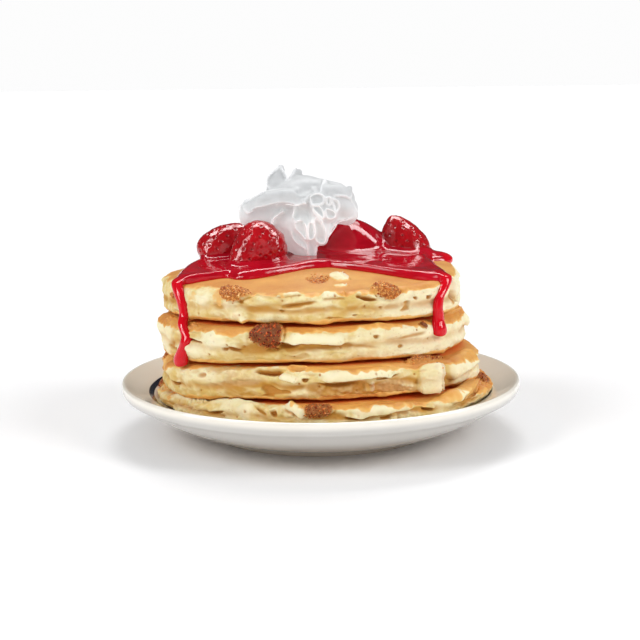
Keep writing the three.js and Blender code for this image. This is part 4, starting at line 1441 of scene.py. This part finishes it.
cream = {
    "voxel": 0.42,
    "low": (-46.0, -16.0, 82.0),
    "high": (27.0, 48.0, 138.0),
    "bodyBlend": 3.0,
    "frillBlend": 1.5,
    "cutBlend": 1.6,
    "frillWobble": 0.35,
    "frillEnds": 0.25,  # how far back an open frill's ends have grown, as a share
    "sway": 0.35,  # a slow ripple over all of it, and its waves' size
    "swaySize": 8,
    "shadeHeights": (104, 122),  # painted shade: it grows darker upwards between these
    # how far behind its edge a frill has grown to some half thickness
    "frill": [(0.0, 0.36), (1.4, 0.46), (2.8, 0.7), (4.4, 1.1), (6.0, 1.7)],
    # rows of x, y, z, radius
    "bodies": [
        [(-9.5, 0, 105, 5.2), (-4, -1, 103, 5), (0.5, -1, 102, 4.8), (0.5, -1.6, 108, 5.4), (4, -2, 112, 5.6),
         (0, -1.6, 117, 5.4), (7, -1, 115.5, 5.2)],
        [(-19, 9, 106, 6), (-17, 9, 100, 5.6), (-14, 9, 95, 4.8), (-10, 9, 91, 3.6)],
        [(8, 2, 114, 6.4), (12, 2.5, 113, 6), (14.5, 3.5, 110.5, 4.6)],
        [(-4, 0, 118, 4), (4, 0, 121, 4.4), (10, 1, 120.5, 4.4)],
        [(-4, 6, 88.5, 2.8), (-6.5, 8, 94, 5.6), (-7, 10, 101, 10.6), (-7, 12, 108, 14.2), (-7, 13, 114, 15)],
        [(-35, 9, 110, 5), (-30, 8, 112, 6.5), (-22, 8, 114, 8.5), (-12, 9, 117, 9.5)],
        [(-36, 8, 108, 4.5), (-30, 5, 108.5, 5), (-25, 6, 108, 5)],
        [(4, 8, 113, 8.6), (11, 7, 112, 7.6), (14, 7, 109.5, 5.6)],
        [(-8, 9, 119.6, 6.3), (2, 9, 119.8, 7.2), (9, 9, 119, 6.4), (14, 10, 117.5, 4.2)],
        [(-30, 18, 110, 8), (-20, 28, 112, 9), (-6, 32, 113, 9.5), (7, 28, 112, 9), (14, 19, 111, 6.4)],
        [(-20, 19, 117, 8), (-8, 22, 118, 8), (4, 20, 117, 7.6)],
        [(-22, 13, 119, 5), (-21.5, 13, 125, 4.6), (-20, 13, 130, 2.6), (-19, 13, 133, 0.6)],
        [(-13.5, 13, 120, 3), (-13, 13, 126, 2), (-12.3, 13, 130.8, 0.5)],
        [(-14, 5, 105, 6.4), (-12.6, 5.5, 99, 5), (-9.4, 5, 93, 3.4), (-6, 5, 89.4, 2.4)],
        [(-36, 5, 110.5, 2.6), (-31, 1.5, 115, 3.4), (-25, -0.5, 118.3, 3.9), (-18, -1.5, 119.3, 4.2),
         (-12, -1.5, 119, 4.2), (-7, -2, 118, 3.8)],
    ],
    "hollows": [
        [(-18.4, -6, 113.4, 2.8), (-17, -5.5, 109.8, 3), (-15.9, -5, 104.8, 2.8), (-15.4, -5, 100.8, 1.8)],
        [(-6.2, -7.5, 113, 2.8), (-6.2, -7.2, 109.8, 2.5)],
        [(-32.3, -5, 110, 2), (-27, -6.5, 111.6, 2.5), (-22, -7.2, 112.4, 2.8)],
        [(-8.7, -3.4, 123.2, 3), (-5, -3, 124.4, 3.4)],
        [(-1, 1, 125.6, 1.8), (-0.5, -4, 122.6, 1.3)],
    ],
    # frills: which way they grow thicker, whether they close on themselves, then their edge as x, y, z
    "frills": [
        ((0, 0.8, 0.6), False, [(-37.4, 3, 113.5), (-36, -1, 111), (-32, -4, 113), (-29, -5.5, 113.7),
            (-24.5, -7, 115.2), (-20, -7.8, 116.2), (-14.8, -7.8, 116), (-11.3, -7.8, 115.5),
            (-7.2, -7.6, 116.8)]),
        ((0, 0.9, -0.45), False, [(-36.8, 6, 117), (-33.8, 4, 118.3), (-29, 3, 121), (-24, 2.5, 122.2),
            (-19, 2, 122.7), (-14.8, 0.5, 121.8), (-11.3, -3, 119.3), (-8.2, -6, 117.3)]),
        ((1, 0.35, 0), False, [(-37, 8, 117), (-39.5, 6, 115.3), (-40.4, 5, 112.8), (-39.8, 5, 109.8),
            (-37.9, 6, 106.8)]),
        ((0.3, 0.9, 0.2), False, [(-18.4, -3, 111.8), (-21.5, -3.8, 109.8), (-23.5, -3, 107.3),
            (-24, -1, 104.8)]),
        ((0.15, 0.95, 0.1), False, [(-11.8, -4, 114.3), (-13.3, -5, 109.8), (-14.3, -5, 104.8),
            (-14.3, -4.2, 100.3), (-11.3, -3, 96.3), (-8.2, -1, 93.3), (-5.6, 2, 89.8)]),
        ((0.4, 0.9, 0), False, [(-4.3, -7.2, 114.8), (-4, -7.8, 110.8), (-3.6, -8, 107.8)]),
        ((-0.1, 1, 0), False, [(-6.7, -8, 116.5), (-4.1, -8.5, 114.3), (-2, -9.3, 111.3),
            (1, -9.3, 107.8)]),
        ((-0.1, 1, 0), True, [(1, -9.3, 107.8), (3.3, -8.8, 103.3), (3.6, -7.5, 99.3), (2.6, -6, 96.3),
            (0, -5.5, 96.3), (-1.8, -5.8, 98.8), (-2.3, -6.8, 102.8), (-2.3, -7.8, 106.8),
            (-1, -8.6, 109)]),
        ((0, 1, 0), True, [(-11.3, -7, 107.3), (-9.2, -7.6, 108), (-7.7, -7.8, 107.3),
            (-6.4, -7.8, 104.3), (-5.9, -7.6, 100.3), (-6.7, -7, 98.3), (-8.7, -6.6, 100.8),
            (-11.3, -6.4, 103.3), (-12.3, -6.6, 105.8)]),
        ((0, 1, 0), True, [(-5.1, -8.4, 106.8), (-3.1, -8.6, 106.5), (-2, -8.5, 103.8), (-2, -8, 100.3),
            (-3.6, -7.6, 98.3), (-5.4, -7.6, 98.8), (-5.7, -8, 102.3)]),
        ((0, 1, 0), True, [(3.6, -9, 113.8), (6.1, -9, 113.3), (8.2, -8.6, 111.3), (7.7, -8.4, 109.3),
            (5.1, -8.6, 108.8), (3.3, -8.8, 110.8)]),
        ((0, 1, 0), True, [(-3.1, -9, 115.3), (0, -9.3, 114.8), (2, -9.5, 112.3), (2.3, -9.6, 109.3),
            (-0.5, -9.5, 111.3), (-2.6, -9.2, 113.3)]),
        ((0, 1, 0), True, [(-4.1, -8, 119.8), (-1, -7.5, 121.3), (2, -7, 120.3), (2.6, -7.5, 117.3),
            (0.5, -8.5, 115.8), (-3.1, -8.5, 115.8)]),
        ((0, 1, 0), True, [(3.6, -7, 118.8), (5.1, -7, 119.3), (6.1, -7, 117.8), (5.6, -7.5, 115.8),
            (4.1, -7.5, 115.8)]),
        ((0, 1, 0), True, [(6.1, -6.5, 118.8), (9.2, -6, 117.3), (10.3, -6, 114.3), (8.7, -6.8, 111.8),
            (7.7, -7, 114.3)]),
        ((0.2, 0.9, -0.3), False, [(-7.2, -7, 116.8), (-5.1, -6, 119.3), (-2, -5.5, 121),
            (0.5, -4.5, 121.8), (2, -1, 124.3), (2.8, 4, 126.5)]),
        ((0.3, 0.9, -0.2), False, [(3.6, 4, 126.5), (4.6, -0.5, 123.8), (6.1, -4.5, 120.3)]),
        ((-0.2, 0.8, 0.5), False, [(6.1, -4.5, 119.8), (9.7, -5, 120), (13.3, -3.5, 119.5),
            (15.9, -0.5, 118.3), (16.9, 4, 119.3), (16.5, 7, 121.5)]),
        ((-0.9, 0.4, 0), False, [(15.9, 0.5, 117.3), (17.4, 1, 114.8), (18.9, 3, 111.3),
            (18.9, 5, 108.8)]),
        ((-0.3, 0.8, 0.5), False, [(18.9, 4, 108.8), (15.9, -0.5, 107.8), (13.3, -2.5, 106.8),
            (9.7, -3.5, 106.3), (8.2, -3.5, 103.8), (5.6, -3.5, 100.3), (3.6, -4, 98.8)]),
        ((0.1, 1, 0.1), False, [(-6.1, -6, 98.3), (-6.1, -4, 94.3), (-5.6, 0, 89.8)]),
        ((-0.5, 0.85, 0.1), False, [(-1.5, -4.5, 96.8), (-1.3, -1.5, 92.8), (-1.8, 2, 89.3)]),
        ((-0.4, 0.9, 0), False, [(-19.4, 12, 133.3), (-17.4, 10, 130.8), (-15.9, 9.5, 127.8),
            (-16.9, 9, 124.8), (-19, 8, 123.3)]),
        ((0.6, 0.75, 0), False, [(-19.4, 12, 133.3), (-23.6, 10.5, 130.8), (-26.1, 10, 127.8),
            (-26.1, 10, 124.3), (-24.5, 8.5, 122.5)]),
        ((0.5, 0.8, 0), False, [(-12.3, 12.5, 131.8), (-13.8, 11, 128.8), (-15.9, 10, 125.8),
            (-17, 9, 124.3)]),
    ],
}


def creamGrid():
    spans = zip(cream["low"], cream["high"])
    axes = [np.arange(low, high, cream["voxel"], dtype=np.float32) for low, high in spans]
    return axes, np.full([len(axis) for axis in axes], farAway, np.float32)


def addChain(field, axes, rows, blend, carve=False):
    # a chain of round cones through rows of x, y, z, radius, added to the field or carved from it
    rows = np.asarray(rows, float)
    margin = rows[:, 3].max() + 2 * blend + 1
    near = []
    for n, axis in enumerate(axes):
        spread = (rows[:, n].min() - margin, rows[:, n].max() + margin)
        near.append(slice(*np.searchsorted(axis, spread)))
    x, y, z = [axis[part] for axis, part in zip(axes, near)]
    spots = [x[:, None, None], y[None, :, None], z[None, None, :]]
    best = None
    for start, end in zip(rows[:-1], rows[1:]):
        along = end[:3] - start[:3]
        share = sum((spots[n] - start[n]) * along[n] for n in range(3)) / max(along.dot(along), 1e-6)
        share = np.clip(share, 0, 1)
        gap = np.sqrt(sum((spots[n] - start[n] - share * along[n]) ** 2 for n in range(3)))
        gap = gap - mix(start[3], end[3], share)
        best = gap if best is None else np.minimum(best, gap)
    here = field[tuple(near)]
    field[tuple(near)] = -smoothMin(-here, best, blend) if carve else smoothMin(here, best, blend)


def addFrill(field, edges, axes, inward, closed, edgeLine):
    # the same edge again and again, each time further in and thicker
    line = np.array(edgeLine, float)
    line = throughPoints(np.vstack([line, line[:1]]) if closed else line, len(line) * 3)
    inward = np.array(inward, float) / np.linalg.norm(inward)
    own = np.full_like(field, farAway)
    ends = np.linspace(-1, 1, len(line))[:, None]
    share = np.ones_like(ends)
    if not closed:
        share = mix(cream["frillEnds"], 1.0, smooth(np.abs(ends), 1.0, 0.55))
    for back, thick in cream["frill"]:
        wobble = cream["frillWobble"] * ripple(line + back, 5, 12)[:, None]
        rows = np.hstack([line + inward * (back * share + wobble), mix(cream["frill"][0][1], thick, share)])
        addChain(own, axes, rows, 0.6)
        if back == 0:
            np.copyto(edges, np.minimum(edges, own))
    np.copyto(field, smoothMin(field, own, cream["frillBlend"]))


def creamFinish():
    white = Finish("whippedCream")
    place = white.place()
    broad = white.noise(place, 10, 3)
    cloud = white.ease(broad, 0.35, 0.65)
    height = white.node("ShaderNodeSeparateXYZ", {}, {0: place}, output="Z")
    # painted shade: the cream is painted paler low down and greyer high up, to temper the light from above
    low = white.blend(cloud, paint(202, 203, 203), paint(210, 211, 211))
    high = white.blend(cloud, paint(150, 151, 153), paint(164, 165, 167))
    colour = white.blend(white.ease(height, *[h * mm for h in cream["shadeHeights"]]), low, high)
    curve = white.attribute("curve")
    # painted shade in the folds, then painted highlight on the crests
    colour = white.blend(white.ease(curve, 0.5, 0.15) * 0.6, colour, paint(150, 150, 147))
    colour = white.blend(white.ease(curve, 0.52, 0.8) * 0.6, colour, paint(236, 236, 238))
    # painted highlight: the frills' thin edges are painted whiter
    colour = white.blend(white.attribute("edge") * 0.26, colour, paint(246, 246, 248))
    soft = white.bump(white.noise(place, 1.4, 3), 0.12, 0.5)
    rough = white.ease(broad, 0.3, 0.7, 0.42, 0.55)
    # painted light: a faint glow stands in for light scattered through the cream and lifts its shade
    return white.surface(Base_Color=colour, Emission_Color=paint(227, 230, 230), Emission_Strength=0.36,
                         Roughness=rough, Normal=soft, Subsurface_Weight=0.7,
                         Subsurface_Radius=(1.0, 0.97, 0.96), Subsurface_Scale=0.004, IOR=1.3)


def makeCream():
    axes, field = creamGrid()
    edges = np.copy(field)
    for rows in cream["bodies"]:
        addChain(field, axes, rows, cream["bodyBlend"])
    for frill in cream["frills"]:
        addFrill(field, edges, axes, *frill)
    for rows in cream["hollows"]:
        addChain(field, axes, rows, cream["cutBlend"], carve=True)
    low = np.array(cream["low"])
    points, faces = meshField(field, low, cream["voxel"])
    nearest = np.rint((points - low) / cream["voxel"]).astype(int)
    cell = tuple(np.clip(nearest, 0, np.array(field.shape) - 1).T)
    outward = np.stack([side[cell] for side in np.gradient(field)], -1)
    outward /= np.linalg.norm(outward, axis=-1, keepdims=True) + 1e-6
    flatter = relaxed(points, faces, 5, 0.6)
    points = relaxed(points, faces, 1)
    # how convex each point is, for the painted shade in folds and the painted highlight on crests
    curve = np.clip(0.5 + 1.8 * ((points - flatter) * outward).sum(-1), 0, 1)
    attributes = {"curve": curve, "edge": smooth(edges[cell], 0.7, 0.2)}
    sway = np.stack([ripple(points, cream["swaySize"], seed) for seed in (21, 22, 23)], -1)
    mesh = meshFrom("piped_cream", points + cream["sway"] * sway, faces, attributes)
    print("cream triangles", sum(len(f) * (f.shape[1] - 2) for f in faces))
    return finishPiece(objectFrom("piped_cream", mesh, creamFinish()), "cream", "whipped_cream")


makeCream()
print("cream done")
